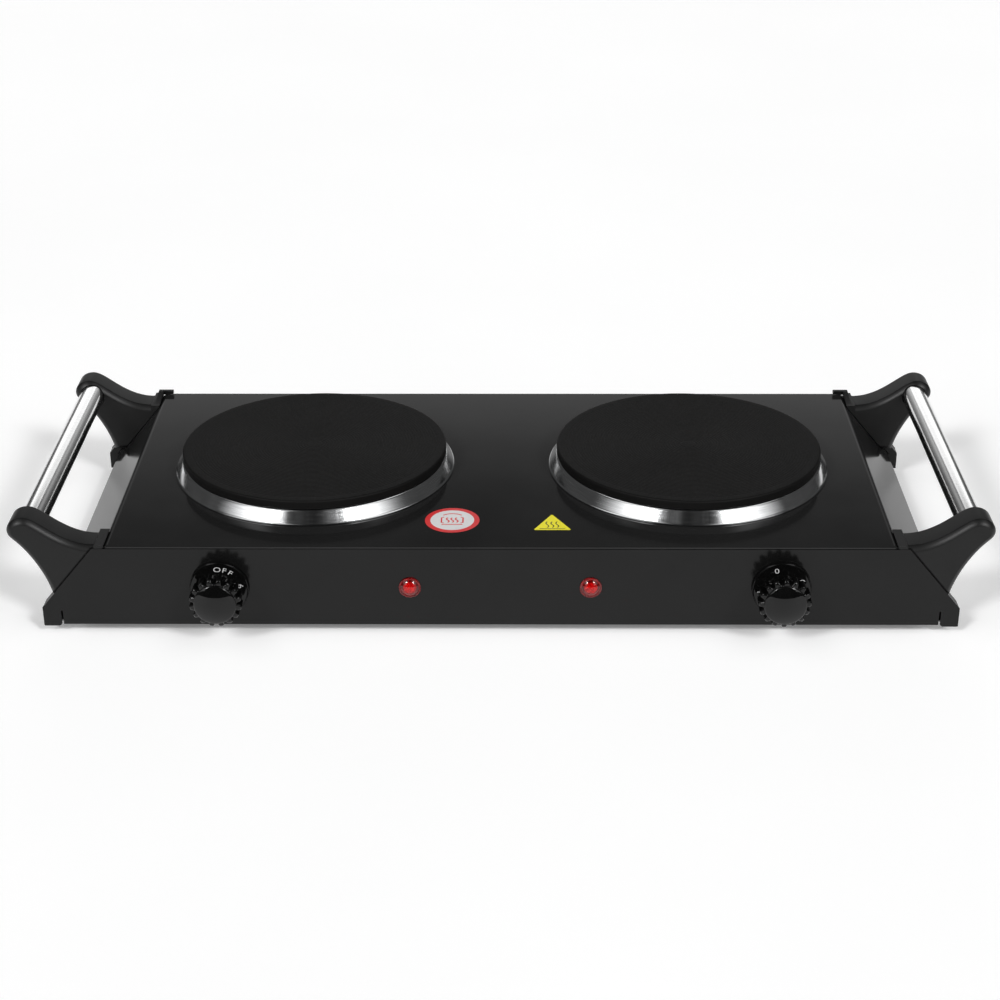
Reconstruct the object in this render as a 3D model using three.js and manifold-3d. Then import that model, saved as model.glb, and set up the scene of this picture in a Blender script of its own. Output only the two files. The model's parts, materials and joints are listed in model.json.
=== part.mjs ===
// Table-top electric hot plate with two solid cast-iron plates, a folded sheet-metal body,
// plastic end cheeks that carry two steel tube handles, and a dial thermostat for each plate.
// Millimetres, +X right, +Y to the back, +Z up. Every piece is its own closed solid.
// Inside the file the body is drawn from its top front edge: y = 0 is the front face and
// z = 0 the top face. The outer group then moves it onto the surface that it stands on.

import * as THREE from "three";
import { mergeVertices } from "three/addons/utils/BufferGeometryUtils.js";
import Module from "manifold-3d";

const wasm = await Module();
wasm.setup();

// ---------------------------------------------------------------- driving dimensions

const GAP = 0.3;               // clearance between neighbouring pieces
const SHEET = 1;               // sheet-metal thickness

const BODY_DEPTH = 256;
const TOP_HALF_WIDTH = 258.7;
const SLOPE_DROP = 45;         // the sides slope outwards down to here
const SLOPE_RUN = 37.4;
const SHELL_DROP = 57.5;       // lower edge of the body
const PANEL_PROUD = 7.1;       // front and rear panels stand out past the sloped sides
const PANEL_TOP = 1.5;         // the panels start this far under the top face
const CORNER_LIP = 1.3;        // the panels' outer corners hang lower than their middle
const CORNER_WIDTH = 12;
const CORNER_SLOT = 10;        // height of the slot beside each corner
const SLOT_WIDTH = 1.2;
const CORNER_CHAMFER = 1.5;
const FOLD = SHEET * 1.25;     // thickness of the sloped sides, measured along X

const FLANGE_HALF_WIDTH = 280; // the panels' lower flanges, which carry the base plate
const FLANGE_DEPTH = 24;
const BASE_TOP = -SHELL_DROP + 2 * SHEET + GAP;
const BASE_SCREW_X = 150;
const BASE_SCREW_INSET = 8;
const SCREW_HOLE = 2;
const EARTH_X = 190;
const EARTH_Y = 226;
const VENT_PITCH = 16;         // between air slots, in the rear panel and in the base
const VENT_HALF_WIDTH = 2;
const VENT_TOP = -22;
const VENT_BOTTOM = -42;
const BASE_VENT_HALF_WIDTH = 2.5;
const BASE_VENT_HALF_LENGTH = 35;

const FOOT_DROP = 64.5;        // lower face of the rubber feet
const FOOT_X = 265;
const FOOT_INSET = 17;
const FOOT_RADIUS = 6;
const FOOT_NECK = 3.3;

const PLATE_RADIUS = 92.5;     // 185 mm plate
const PLATE_X = 131.5;
const PLATE_Y = 128;
const PLATE_TOP = 15.9;
const PLATE_EDGE = 6.1;        // height of the plate's black rim
const PLATE_WALL_RADIUS = 86.2;
const RING_RADIUS = 97.9;
const CUTOUT_RADIUS = 89;
const COIL_INNER = 40;
const COIL_OUTER = 70;
const COIL_TURNS = 2;
const COIL_WIRE = 1.9;
const COIL_LEVEL = 5.4;        // the coil lies inside the plate at this height
const COIL_END = -24;          // its terminals reach down to here
const STUD_RADIUS = 3;
const HUB_RADIUS = 11;         // the boss under a plate's middle
const COVER_LEVEL = 2;
const BRACKET_FLOOR = -17.5;   // the clamp bracket is a shallow channel hung from the top
const BRACKET_HALF_LENGTH = 106;
const BRACKET_HALF_WIDTH = 12;
const BRACKET_SHEET = 1.4;
const SHIELD_RADIUS = 80;
const SHIELD_LEVEL = -18.5;

const CONTROL_Z = -29.5;       // centre line of knobs and lamps
const KNOB_X = 184.7;
const LAMP_X = 59.5;
const KNOB_REACH = 28.5;       // from the front face to the tip of a knob
const DIAL_RADIUS = 19.5;
const GRIP_RADIUS = 17.4;
const GRIP_LOBES = 16;
const LOBE_RISE = 1.4;         // half the depth of the hollows between lobes
const CAP_RADIUS = 13.8;
const SHAFT_RADIUS = 3;
const SHAFT_FLAT = 2;          // from the axis to the flat of the D
const SHAFT_HOLE = 4.5;
const TAB_X = 9;               // the thermostat's terminals, either side of its axis
const TAB_REACH = 34;
const LENS_RADIUS = 7.2;
const LAMP_BARREL = 5.6;
const LAMP_WALL = 1.2;
const LAMP_REAR = 9;           // where the lens ends and the lamp's holder begins

const CHEEK_DEPTH = 25;
const CHEEK_ROUND = 3.5;
const CHEEK_FOOT_DEPTH = 11;
const CHEEK_SCREW_DROP = 20;
const LOBE_X = 311;            // highest point of a cheek's lobe
const LOBE_Z = 19.4;
const LOBE_REACH = 322;
const TUBE_X = 309.3;
const TUBE_Z = 8;
const TUBE_RADIUS = 8.75;
const TUBE_WALL = 1;
const SOCKET_DEPTH = 15;
const HOOK_X0 = TOP_HALF_WIDTH + 0.5;
const HOOK_X1 = TOP_HALF_WIDTH + 4;
const HOOK_TOP = 3.4;          // the rear cheeks hook over the top this far above it
const HOOK_LENGTH = 7;

const GLAND_X = 150;
const GLAND_Z = -34;
const GLAND_REACH = 11;
const GLAND_NECK = 7;
const TERMINAL_X = 120;        // centre of the terminal block
const TERMINAL_Y = 232;
const TERMINAL_HALF_WIDTH = 18;
const TERMINAL_HALF_DEPTH = 9;
const TERMINAL_HEIGHT = 15;
const TERMINAL_PITCH = 11;
const WIRE_RADIUS = 1.3;

const ROUND = 40;              // sides of a large round piece
const SMALL_ROUND = 16;        // sides of a small one

// ---------------------------------------------------------------- materials

const material = (color, roughness, metalness) =>
  new THREE.MeshStandardMaterial({ color, roughness, metalness });

const blackEnamel = material(0x161616, 0.22, 0.1);
const blackPanel = material(0x262626, 0.45, 0.1);
const blackPlastic = material(0x232323, 0.55, 0);
const knobPlastic = material(0x0b0b0b, 0.15, 0);
const castIron = material(0x242424, 0.7, 0.35);
const polishedSteel = material(0xd4d4d4, 0.12, 1);
const chromedSteel = material(0xe2e2e2, 0.08, 1);
const zincSteel = material(0x9a9a98, 0.4, 0.9);
const aluminium = material(0xb9bbbd, 0.35, 0.9);
const heaterSheath = material(0x57504a, 0.6, 0.6);
const ceramic = material(0xe8e2d4, 0.6, 0);
const redLens = material(0xc8101a, 0.15, 0);
const rubber = material(0x1a1a1a, 0.85, 0);
const wireJacket = material(0xb9b2a4, 0.7, 0);

// ---------------------------------------------------------------- solids

// A manifold solid of a closed geometry, turned outwards if its faces point in.
function solid(geometry) {
  const bare = geometry.clone();
  bare.deleteAttribute("normal");
  bare.deleteAttribute("uv");
  const merged = mergeVertices(bare, 1e-4);
  const corners = [];
  for (let i = 0; i < merged.index.count; i += 3) {
    const [a, b, c] = [0, 1, 2].map((k) => merged.index.getX(i + k));
    if (a !== b && b !== c && c !== a) corners.push(a, b, c);
  }
  const vertProperties = new Float32Array(merged.attributes.position.array);
  const build = (triVerts) =>
    new wasm.Manifold(new wasm.Mesh({ numProp: 3, vertProperties, triVerts }));
  const made = build(new Uint32Array(corners));
  if (made.volume() > 0) return made;
  return build(new Uint32Array(corners.reverse()));
}

function geometryOf(shape) {
  const mesh = shape.getMesh();
  const positions = [];
  for (let i = 0; i < mesh.vertProperties.length; i += mesh.numProp) {
    positions.push(...mesh.vertProperties.slice(i, i + 3));
  }
  const geometry = new THREE.BufferGeometry();
  geometry.setAttribute("position", new THREE.Float32BufferAttribute(positions, 3));
  geometry.setIndex(Array.from(mesh.triVerts));
  const flat = geometry.toNonIndexed();
  flat.computeVertexNormals();
  return flat;
}

const joined = (first, ...rest) => rest.reduce((sum, piece) => sum.add(piece), first);
const cut = (first, ...rest) => rest.reduce((sum, piece) => sum.subtract(piece), first);

// The same solid seen in a mirror across x = 0, or across the middle of the body's depth.
const mirroredX = (shape) => solid(geometryOf(shape).scale(-1, 1, 1));
const mirroredY = (shape) =>
  solid(geometryOf(shape).scale(1, -1, 1).translate(0, BODY_DEPTH, 0));

function block(x0, x1, y0, y1, z0, z1) {
  const geometry = new THREE.BoxGeometry(x1 - x0, y1 - y0, z1 - z0);
  return solid(geometry.translate((x0 + x1) / 2, (y0 + y1) / 2, (z0 + z1) / 2));
}

// A cylinder between two points.
function rod(from, to, radius, sides = SMALL_ROUND) {
  const start = new THREE.Vector3(...from);
  const end = new THREE.Vector3(...to);
  const along = end.clone().sub(start);
  const geometry = new THREE.CylinderGeometry(radius, radius, along.length(), sides);
  const turn = new THREE.Quaternion().setFromUnitVectors(
    new THREE.Vector3(0, 1, 0),
    along.clone().normalize(),
  );
  geometry.applyQuaternion(turn);
  return solid(geometry.translate(...start.add(end).multiplyScalar(0.5)));
}

// Drills: one straight down through the base, and one front to back through a panel at y.
const baseDrill = (x, y, radius) => rod([x, y, -FOOT_DROP - 5], [x, y, BASE_TOP + 5], radius);
const panelDrill = (x, y, z, radius) => rod([x, y - 5, z], [x, y + 5, z], radius);

// A profile of [radius, height] points turned round the Z axis, or round the Y axis.
function turnedZ(profile, sides = ROUND) {
  const points = profile.map(([r, z]) => new THREE.Vector2(r, z));
  return solid(new THREE.LatheGeometry(points, sides).rotateX(Math.PI / 2));
}

function turnedY(profile, sides = ROUND) {
  const points = profile.map(([r, y]) => new THREE.Vector2(r, y));
  return solid(new THREE.LatheGeometry(points, sides));
}

function outline(points) {
  return new THREE.Shape(points.map(([a, b]) => new THREE.Vector2(a, b)));
}

// An outline in the X-Z plane, thickened along Y from y0 to y1.
function slabY(shape, y0, y1, options = {}) {
  const geometry = new THREE.ExtrudeGeometry(shape, {
    depth: y1 - y0,
    bevelEnabled: false,
    ...options,
  });
  return solid(geometry.rotateX(Math.PI / 2).translate(0, y1, 0));
}

// A round bar of the given radius along a smooth curve through the points.
function bent(points, radius, sides, steps) {
  const path = new THREE.CatmullRomCurve3(points.map((p) => new THREE.Vector3(...p)));
  const section = [];
  for (let i = 0; i < sides; i++) {
    const angle = (2 * Math.PI * i) / sides;
    section.push([radius * Math.cos(angle), radius * Math.sin(angle)]);
  }
  return solid(
    new THREE.ExtrudeGeometry(outline(section), {
      extrudePath: path,
      steps,
      bevelEnabled: false,
    }),
  );
}

function add(parent, name, shape, finish) {
  const mesh = new THREE.Mesh(geometryOf(shape), finish);
  mesh.name = name;
  parent.add(mesh);
  return mesh;
}

const SIDES = [
  ["left", -1],
  ["right", 1],
];

// ---------------------------------------------------------------- sheet-metal body

// How far out the sloped side lies at a depth below the top face.
const slopeX = (drop) => TOP_HALF_WIDTH + (SLOPE_RUN * Math.min(drop, SLOPE_DROP)) / SLOPE_DROP;

// The body's cross-section, moved out or in by an amount measured along X.
function shellSection(offset, top, bottom) {
  const right = [
    [slopeX(-top) + offset, top],
    [slopeX(SLOPE_DROP) + offset, -SLOPE_DROP],
    [slopeX(SLOPE_DROP) + offset, bottom],
  ];
  const left = right.map(([x, z]) => [-x, z]).reverse();
  return outline([...right, ...left]);
}

// The screws that hold the cheeks pass squarely through the sloped sides.
const slopeLength = Math.hypot(SLOPE_RUN, SLOPE_DROP);
const slopeNormal = [SLOPE_DROP / slopeLength, 0, SLOPE_RUN / slopeLength];

function onCheekScrew(distance, y) {
  const x = slopeX(CHEEK_SCREW_DROP) + distance * slopeNormal[0];
  return [x, y, -CHEEK_SCREW_DROP + distance * slopeNormal[2]];
}

function topCover() {
  const outer = slabY(shellSection(0, 0, -SHELL_DROP), SHEET + GAP, BODY_DEPTH - SHEET - GAP);
  const inside = shellSection(-FOLD, -SHEET, -SHELL_DROP - 1);
  const folded = cut(outer, slabY(inside, 0, BODY_DEPTH));
  const top = block(-TOP_HALF_WIDTH, TOP_HALF_WIDTH, 0, BODY_DEPTH, -SHEET, 0);
  let cover = joined(folded, top);
  for (const [, side] of SIDES) {
    const x = side * PLATE_X;
    cover = cut(cover, rod([x, PLATE_Y, -5], [x, PLATE_Y, 5], CUTOUT_RADIUS, ROUND));
  }
  for (const y of [CHEEK_DEPTH / 2, BODY_DEPTH - CHEEK_DEPTH / 2]) {
    const hole = rod(onCheekScrew(-4, y), onCheekScrew(4, y), SCREW_HOLE);
    cover = cut(cover, hole, mirroredX(hole));
  }
  return cover;
}

// The outline that the front and rear panels share.
function panelOutline() {
  const edge = (drop) => slopeX(drop) + PANEL_PROUD;
  const bottom = -SHELL_DROP;
  const corner = edge(SLOPE_DROP) - CORNER_WIDTH;
  const right = [
    [edge(PANEL_TOP), -PANEL_TOP],
    [edge(SLOPE_DROP), -SLOPE_DROP],
    [edge(SLOPE_DROP), bottom - CORNER_LIP],
    [corner + CORNER_CHAMFER, bottom - CORNER_LIP],
    [corner, bottom],
    [corner, bottom + CORNER_SLOT],
    [corner - SLOT_WIDTH, bottom + CORNER_SLOT],
    [corner - SLOT_WIDTH, bottom],
  ];
  const left = right.map(([x, z]) => [-x, z]).reverse();
  return outline([...right, ...left]);
}

// A panel with the flange along its lower edge that the base plate lies on.
function plainPanel() {
  const [half, low] = [FLANGE_HALF_WIDTH, -SHELL_DROP];
  const flange = block(-half, half, SHEET / 2, FLANGE_DEPTH, low, low + SHEET);
  const panel = joined(slabY(panelOutline(), 0, SHEET), flange);
  const holes = SIDES.flatMap(([, side]) => [
    baseDrill(side * FOOT_X, FOOT_INSET, FOOT_NECK + GAP),
    baseDrill(side * BASE_SCREW_X, BASE_SCREW_INSET, SCREW_HOLE),
  ]);
  return cut(panel, ...holes);
}

function frontPanel() {
  const holes = SIDES.flatMap(([, side]) => [
    panelDrill(side * KNOB_X, 0, CONTROL_Z, SHAFT_HOLE),
    panelDrill(side * LAMP_X, 0, CONTROL_Z, LAMP_BARREL + GAP),
  ]);
  return cut(plainPanel(), ...holes);
}

function rearPanel() {
  const holes = [panelDrill(GLAND_X, BODY_DEPTH, GLAND_Z, GLAND_NECK + GAP)];
  const [y0, y1] = [BODY_DEPTH - 5, BODY_DEPTH + 5];
  for (let i = -3; i <= 3; i++) {
    const x = i * VENT_PITCH;
    const half = VENT_HALF_WIDTH;
    holes.push(block(x - half, x + half, y0, y1, VENT_BOTTOM, VENT_TOP));
  }
  return cut(mirroredY(plainPanel()), ...holes);
}

function basePlate() {
  const half = slopeX(SLOPE_DROP) - FOLD - GAP;
  const edge = SHEET + 2 * GAP;
  const base = block(-half, half, edge, BODY_DEPTH - edge, BASE_TOP - SHEET, BASE_TOP);
  const holes = [baseDrill(EARTH_X, EARTH_Y, SCREW_HOLE)];
  for (const [, side] of SIDES) {
    for (const from of [(inset) => inset, (inset) => BODY_DEPTH - inset]) {
      holes.push(baseDrill(side * FOOT_X, from(FOOT_INSET), FOOT_NECK + GAP));
      holes.push(baseDrill(side * BASE_SCREW_X, from(BASE_SCREW_INSET), SCREW_HOLE));
    }
    const [y0, y1] = [PLATE_Y - BASE_VENT_HALF_LENGTH, PLATE_Y + BASE_VENT_HALF_LENGTH];
    for (let i = -2; i <= 2; i++) {
      const x = side * PLATE_X + i * VENT_PITCH;
      const wide = BASE_VENT_HALF_WIDTH;
      holes.push(block(x - wide, x + wide, y0, y1, BASE_TOP - 5, BASE_TOP + 5));
    }
  }
  return cut(base, ...holes);
}

// ---------------------------------------------------------------- cheeks and handles

// A cheek's rounded outline, seen from the front: it sweeps up to the lobe that holds the
// tube and hollows back under it to the body's corner. The inner part is trimmed later.
function cheekOutline() {
  const seam = slopeX(0) + PANEL_PROUD;
  const shape = new THREE.Shape();
  shape.moveTo(seam - 30, 0);
  shape.lineTo(seam, 0);
  shape.bezierCurveTo(seam + 23, 0, LOBE_X - 10, LOBE_Z, LOBE_X, LOBE_Z);
  shape.bezierCurveTo(LOBE_X + 6.5, LOBE_Z, LOBE_REACH, LOBE_Z - 4.4, LOBE_REACH, 10);
  shape.bezierCurveTo(LOBE_REACH, 6.4, LOBE_REACH - 2, 5, LOBE_REACH - 4, 3);
  shape.bezierCurveTo(LOBE_X - 3, -6.5, seam + 33.7, -22, seam + 30.2, -36.1);
  shape.lineTo(seam - 30, -36.1);
  return shape;
}

// The front right cheek. The others are its mirror images.
function cheekBody() {
  const round = {
    bevelEnabled: true,
    bevelThickness: CHEEK_ROUND,
    bevelSize: CHEEK_ROUND,
    bevelOffset: -CHEEK_ROUND,
    bevelSegments: 2,
    curveSegments: 7,
  };
  const wing = slabY(cheekOutline(), CHEEK_ROUND, CHEEK_DEPTH - CHEEK_ROUND, round);
  const edge = (drop) => slopeX(drop) + PANEL_PROUD - GAP;
  const foot = outline([
    [slopeX(0) - 5, -2],
    [edge(2), -2],
    [edge(SLOPE_DROP), -SLOPE_DROP],
    [edge(SLOPE_DROP), -SHELL_DROP],
    [slopeX(SLOPE_DROP) - 5, -SHELL_DROP],
  ]);
  const leg = slabY(foot, SHEET + GAP, CHEEK_FOOT_DEPTH);
  const strip = block(TOP_HALF_WIDTH, edge(0), 0, CHEEK_DEPTH, -8, 0.8);
  return joined(wing, leg, strip);
}

// The space that the body, the front panel, the tube and the screw take from a cheek.
function cheekCuts() {
  const clear = 1.3 * GAP;
  const shell = outline([
    [0, 30],
    [slopeX(0) + clear, 30],
    [slopeX(0) + clear, 0],
    [slopeX(SLOPE_DROP) + clear, -SLOPE_DROP],
    [slopeX(SLOPE_DROP) + clear, -80],
    [0, -80],
  ]);
  const proud = PANEL_PROUD + clear;
  const panel = outline([
    [0, -PANEL_TOP + GAP],
    [slopeX(PANEL_TOP - GAP) + proud, -PANEL_TOP + GAP],
    [slopeX(SLOPE_DROP) + proud, -SLOPE_DROP],
    [slopeX(SLOPE_DROP) + proud, -80],
    [0, -80],
  ]);
  const middle = CHEEK_DEPTH / 2;
  return [
    slabY(shell, -10, CHEEK_DEPTH + 10),
    slabY(panel, -10, SHEET + GAP),
    rod(
      [TUBE_X, CHEEK_DEPTH - SOCKET_DEPTH, TUBE_Z],
      [TUBE_X, CHEEK_DEPTH + 5, TUBE_Z],
      TUBE_RADIUS + GAP,
      24,
    ),
    rod(onCheekScrew(-2, middle), onCheekScrew(10.5, middle), SCREW_HOLE - 0.2),
  ];
}

// The rear cheeks rise to a post at the body's corner and hook over its rear edge.
function hookPost() {
  const side = new THREE.ExtrudeGeometry(
    outline([
      [0, -3],
      [22, -3],
      [22, 0.5],
      [4, HOOK_TOP],
      [0, HOOK_TOP],
    ]),
    { depth: HOOK_X1 - HOOK_X0, bevelEnabled: false },
  );
  return solid(side.rotateX(Math.PI / 2).rotateZ(Math.PI / 2).translate(HOOK_X0, 0, 0));
}

function hookLip() {
  const tip = TOP_HALF_WIDTH - HOOK_LENGTH;
  const wedge = outline([
    [tip, 1],
    [TOP_HALF_WIDTH - 1, GAP + 0.1],
    [HOOK_X1, GAP + 0.1],
    [HOOK_X1, HOOK_TOP],
    [tip, HOOK_TOP],
  ]);
  return slabY(wedge, 0, 3);
}

function addCheeks(parent) {
  const front = cut(cheekBody(), ...cheekCuts());
  const hooked = cut(joined(cheekBody(), hookPost()), ...cheekCuts());
  const rear = mirroredY(joined(hooked, hookLip()));
  for (const [name, side] of SIDES) {
    const place = (shape) => (side < 0 ? mirroredX(shape) : shape);
    add(parent, `handle_cheek_front_${name}`, place(front), blackPlastic);
    add(parent, `handle_cheek_rear_${name}`, place(rear), blackPlastic);
    for (const [end, y] of [["front", CHEEK_DEPTH / 2], ["rear", BODY_DEPTH - CHEEK_DEPTH / 2]]) {
      const shank = rod(onCheekScrew(-SHEET - GAP - 0.1, y), onCheekScrew(10, y), 1.5, 12);
      const head = rod(onCheekScrew(-3.6, y), onCheekScrew(-SHEET - GAP, y), 3.5, 12);
      add(parent, `cheek_screw_${end}_${name}`, place(joined(shank, head)), zincSteel);
    }
  }
}

function addTubes(parent) {
  const start = CHEEK_DEPTH - SOCKET_DEPTH + GAP;
  const end = BODY_DEPTH - start;
  const bore = TUBE_RADIUS - TUBE_WALL;
  const profile = [
    [bore, start],
    [TUBE_RADIUS, start],
    [TUBE_RADIUS, end],
    [bore, end],
    [bore, start],
  ];
  for (const [name, side] of SIDES) {
    const tube = add(parent, `handle_tube_${name}`, turnedY(profile, 24), chromedSteel);
    tube.position.set(side * TUBE_X, 0, TUBE_Z);
  }
}

// ---------------------------------------------------------------- burners

function hotPlate() {
  const top = PLATE_TOP;
  const rim = top - PLATE_EDGE;
  return turnedZ([
    [0, 9.5],
    [STUD_RADIUS + GAP, 9.5],
    [STUD_RADIUS + GAP, 3.2],
    [HUB_RADIUS, 3.2],
    [HUB_RADIUS, 8],
    [PLATE_WALL_RADIUS - 3.2, 8],
    [PLATE_WALL_RADIUS - 3.2, 1.5],
    [PLATE_WALL_RADIUS, 1.5],
    [PLATE_WALL_RADIUS, rim],
    [PLATE_RADIUS, rim],
    [PLATE_RADIUS, top - 1.3],
    [PLATE_RADIUS - 1.3, top],
    [0, top],
  ]);
}

function spillRing() {
  const rim = PLATE_TOP - PLATE_EDGE - GAP;
  const inner = PLATE_WALL_RADIUS + GAP;
  return turnedZ([
    [inner, rim],
    [PLATE_RADIUS - 0.7, rim],
    [PLATE_RADIUS + 0.7, rim - 0.9],
    [RING_RADIUS - 0.6, 1.4],
    [RING_RADIUS, GAP],
    [RING_RADIUS - 1.2, GAP],
    [PLATE_RADIUS - 0.4, rim - 1.4],
    [inner, rim - 0.9],
    [inner, rim],
  ]);
}

// A spiral of sheathed heating wire with both ends turned down as terminals.
function heatingCoil() {
  const leg = (y) => [COIL_END, -8, 0, COIL_LEVEL - 2].map((z) => [0, y, z]);
  const points = leg(-COIL_INNER);
  const steps = 14 * COIL_TURNS;
  for (let i = 1; i < steps; i++) {
    const part = i / steps;
    const angle = -Math.PI / 2 + 2 * Math.PI * COIL_TURNS * part;
    const radius = COIL_INNER + (COIL_OUTER - COIL_INNER) * part;
    points.push([radius * Math.cos(angle), radius * Math.sin(angle), COIL_LEVEL]);
  }
  points.push(...leg(-COIL_OUTER).reverse());
  return bent(points, COIL_WIRE, 6, 60);
}

// Openings for the coil's ends, longer on the side that each end comes from.
function terminalHoles(shape) {
  const opening = (y, x0, x1) => block(x0, x1, y - 6, y + 6, -40, 10);
  return cut(shape, opening(-COIL_INNER, -7, 13), opening(-COIL_OUTER, -13, 7));
}

function elementCover() {
  const rim = PLATE_WALL_RADIUS - 3.2 - GAP;
  const disc = turnedZ([
    [STUD_RADIUS + 2, COVER_LEVEL],
    [rim, COVER_LEVEL],
    [rim, COVER_LEVEL + 0.8],
    [STUD_RADIUS + 2, COVER_LEVEL + 0.8],
    [STUD_RADIUS + 2, COVER_LEVEL],
  ]);
  return terminalHoles(disc);
}

// A channel of bent strip under the top, which the stud and nut pull the plate down to.
function clampBracket() {
  const top = -BRACKET_SHEET;
  const right = [
    [84, BRACKET_FLOOR],
    [92, top - BRACKET_SHEET],
    [BRACKET_HALF_LENGTH, top - BRACKET_SHEET],
    [BRACKET_HALF_LENGTH, top],
    [91.2, top],
    [83.2, BRACKET_FLOOR + BRACKET_SHEET],
  ];
  const left = right.map(([x, z]) => [-x, z]).reverse();
  const strip = slabY(outline([...right, ...left]), -BRACKET_HALF_WIDTH, BRACKET_HALF_WIDTH);
  return cut(strip, rod([0, 0, BRACKET_FLOOR - 10], [0, 0, 0], STUD_RADIUS + GAP));
}

function heatShield() {
  const hole = STUD_RADIUS + GAP;
  const disc = turnedZ([
    [hole, SHIELD_LEVEL],
    [SHIELD_RADIUS, SHIELD_LEVEL],
    [SHIELD_RADIUS, SHIELD_LEVEL + 0.7],
    [hole, SHIELD_LEVEL + 0.7],
    [hole, SHIELD_LEVEL],
  ]);
  return terminalHoles(disc);
}

function centreNut() {
  const top = SHIELD_LEVEL - GAP;
  const hex = rod([0, 0, top - 5], [0, 0, top], 5.8, 6);
  return cut(hex, rod([0, 0, top - 10], [0, 0, top + 5], STUD_RADIUS + GAP));
}

function addBurner(parent, name, side) {
  const burner = new THREE.Group();
  burner.position.set(side * PLATE_X, PLATE_Y, 0);
  parent.add(burner);
  add(burner, `hot_plate_${name}`, hotPlate(), castIron);
  add(burner, `spill_ring_${name}`, spillRing(), polishedSteel);
  add(burner, `heating_coil_${name}`, heatingCoil(), heaterSheath);
  add(burner, `element_cover_${name}`, elementCover(), aluminium);
  add(burner, `clamp_bracket_${name}`, clampBracket(), zincSteel);
  add(burner, `heat_shield_${name}`, heatShield(), aluminium);
  add(burner, `centre_stud_${name}`, rod([0, 0, -27], [0, 0, 9.2], STUD_RADIUS), zincSteel);
  add(burner, `centre_nut_${name}`, centreNut(), zincSteel);
}

// ---------------------------------------------------------------- controls

// The lobed outline of the grip: its radius swells once for each finger lobe.
function gripOutline() {
  const middle = GRIP_RADIUS - LOBE_RISE;
  const points = [];
  for (let i = 0; i < 4 * GRIP_LOBES; i++) {
    const angle = (Math.PI * i) / (2 * GRIP_LOBES);
    const radius = middle + LOBE_RISE * Math.cos(GRIP_LOBES * angle);
    points.push([radius * Math.cos(angle), radius * Math.sin(angle)]);
  }
  return outline(points);
}

// A dial skirt, a lobed grip and a domed cap, with a D-shaped bore for the shaft.
function knob() {
  const dial = turnedY([
    [0, -6],
    [GRIP_RADIUS, -5.5],
    [DIAL_RADIUS, -2.4],
    [DIAL_RADIUS, -1.2],
    [0, -1.2],
  ], 32);
  const cap = turnedY([
    [0, -KNOB_REACH],
    [CAP_RADIUS * 0.55, -KNOB_REACH + 0.5],
    [CAP_RADIUS * 0.9, -KNOB_REACH + 1.9],
    [CAP_RADIUS, -KNOB_REACH + 3.6],
    [CAP_RADIUS, -8],
    [0, -8],
  ], 32);
  const grip = slabY(gripOutline(), -KNOB_REACH + 6, -5);
  return cut(joined(dial, grip, cap), shaftSection(GAP, -21, 0));
}

// A round bar with one flat along its upper side, made wider all round by an amount.
function shaftSection(wider, y0, y1) {
  const radius = SHAFT_RADIUS + wider;
  const bar = rod([0, y0, 0], [0, y1, 0], radius);
  return cut(bar, block(-9, 9, y0 - 1, y1 + 1, SHAFT_FLAT + wider, 9));
}

function thermostatShaft() {
  const flat = shaftSection(0, -20.5, -0.5);
  return joined(flat, rod([0, -0.6, 0], [0, 11.5, 0], SHAFT_RADIUS));
}

function thermostat() {
  const flange = block(-17, 17, SHEET + GAP, SHEET + GAP + 1.5, -8, 8);
  const neck = rod([0, 2, 0], [0, 8, 0], 8);
  const box = block(-18, 18, 7, 27, -13, 13);
  const tabs = [-TAB_X, TAB_X].map((x) => block(x - 3.2, x + 3.2, 26, TAB_REACH, -5.4, -4.6));
  const bore = rod([0, -2, 0], [0, 12, 0], SHAFT_RADIUS + GAP);
  return cut(joined(flange, neck, box, ...tabs), bore);
}

function addControl(parent, name, side) {
  const control = new THREE.Group();
  control.position.set(side * KNOB_X, 0, CONTROL_Z);
  parent.add(control);
  add(control, `knob_${name}`, knob(), knobPlastic);
  add(control, `thermostat_shaft_${name}`, thermostatShaft(), zincSteel);
  add(control, `thermostat_${name}`, thermostat(), ceramic);
}

// ---------------------------------------------------------------- pilot lamps

// A domed lens whose hollow barrel passes through the front panel.
function lampLens() {
  const bore = LAMP_BARREL - LAMP_WALL;
  return turnedY([
    [0, -4],
    [LENS_RADIUS * 0.4, -3.5],
    [LENS_RADIUS * 0.7, -2.3],
    [LENS_RADIUS * 0.9, -1.1],
    [LENS_RADIUS, -1],
    [LENS_RADIUS, -GAP],
    [LAMP_BARREL, -GAP],
    [LAMP_BARREL, LAMP_REAR],
    [bore, LAMP_REAR],
    [bore, -1.5],
    [0, -1.5],
  ], SMALL_ROUND);
}

function lampBody() {
  const bulb = LAMP_BARREL - LAMP_WALL - GAP;
  return turnedY([
    [0, 0],
    [bulb * 0.7, 0],
    [bulb, 2],
    [bulb, LAMP_REAR + GAP],
    [LAMP_BARREL + 1, LAMP_REAR + GAP],
    [LAMP_BARREL + 1, 2 * LAMP_REAR],
    [0, 2 * LAMP_REAR],
  ], SMALL_ROUND);
}

function addLamp(parent, name, side) {
  const lamp = new THREE.Group();
  lamp.position.set(side * LAMP_X, 0, CONTROL_Z);
  parent.add(lamp);
  add(lamp, `lamp_lens_${name}`, lampLens(), redLens);
  add(lamp, `lamp_body_${name}`, lampBody(), ceramic);
}

// ---------------------------------------------------------------- wiring and fixings

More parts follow.
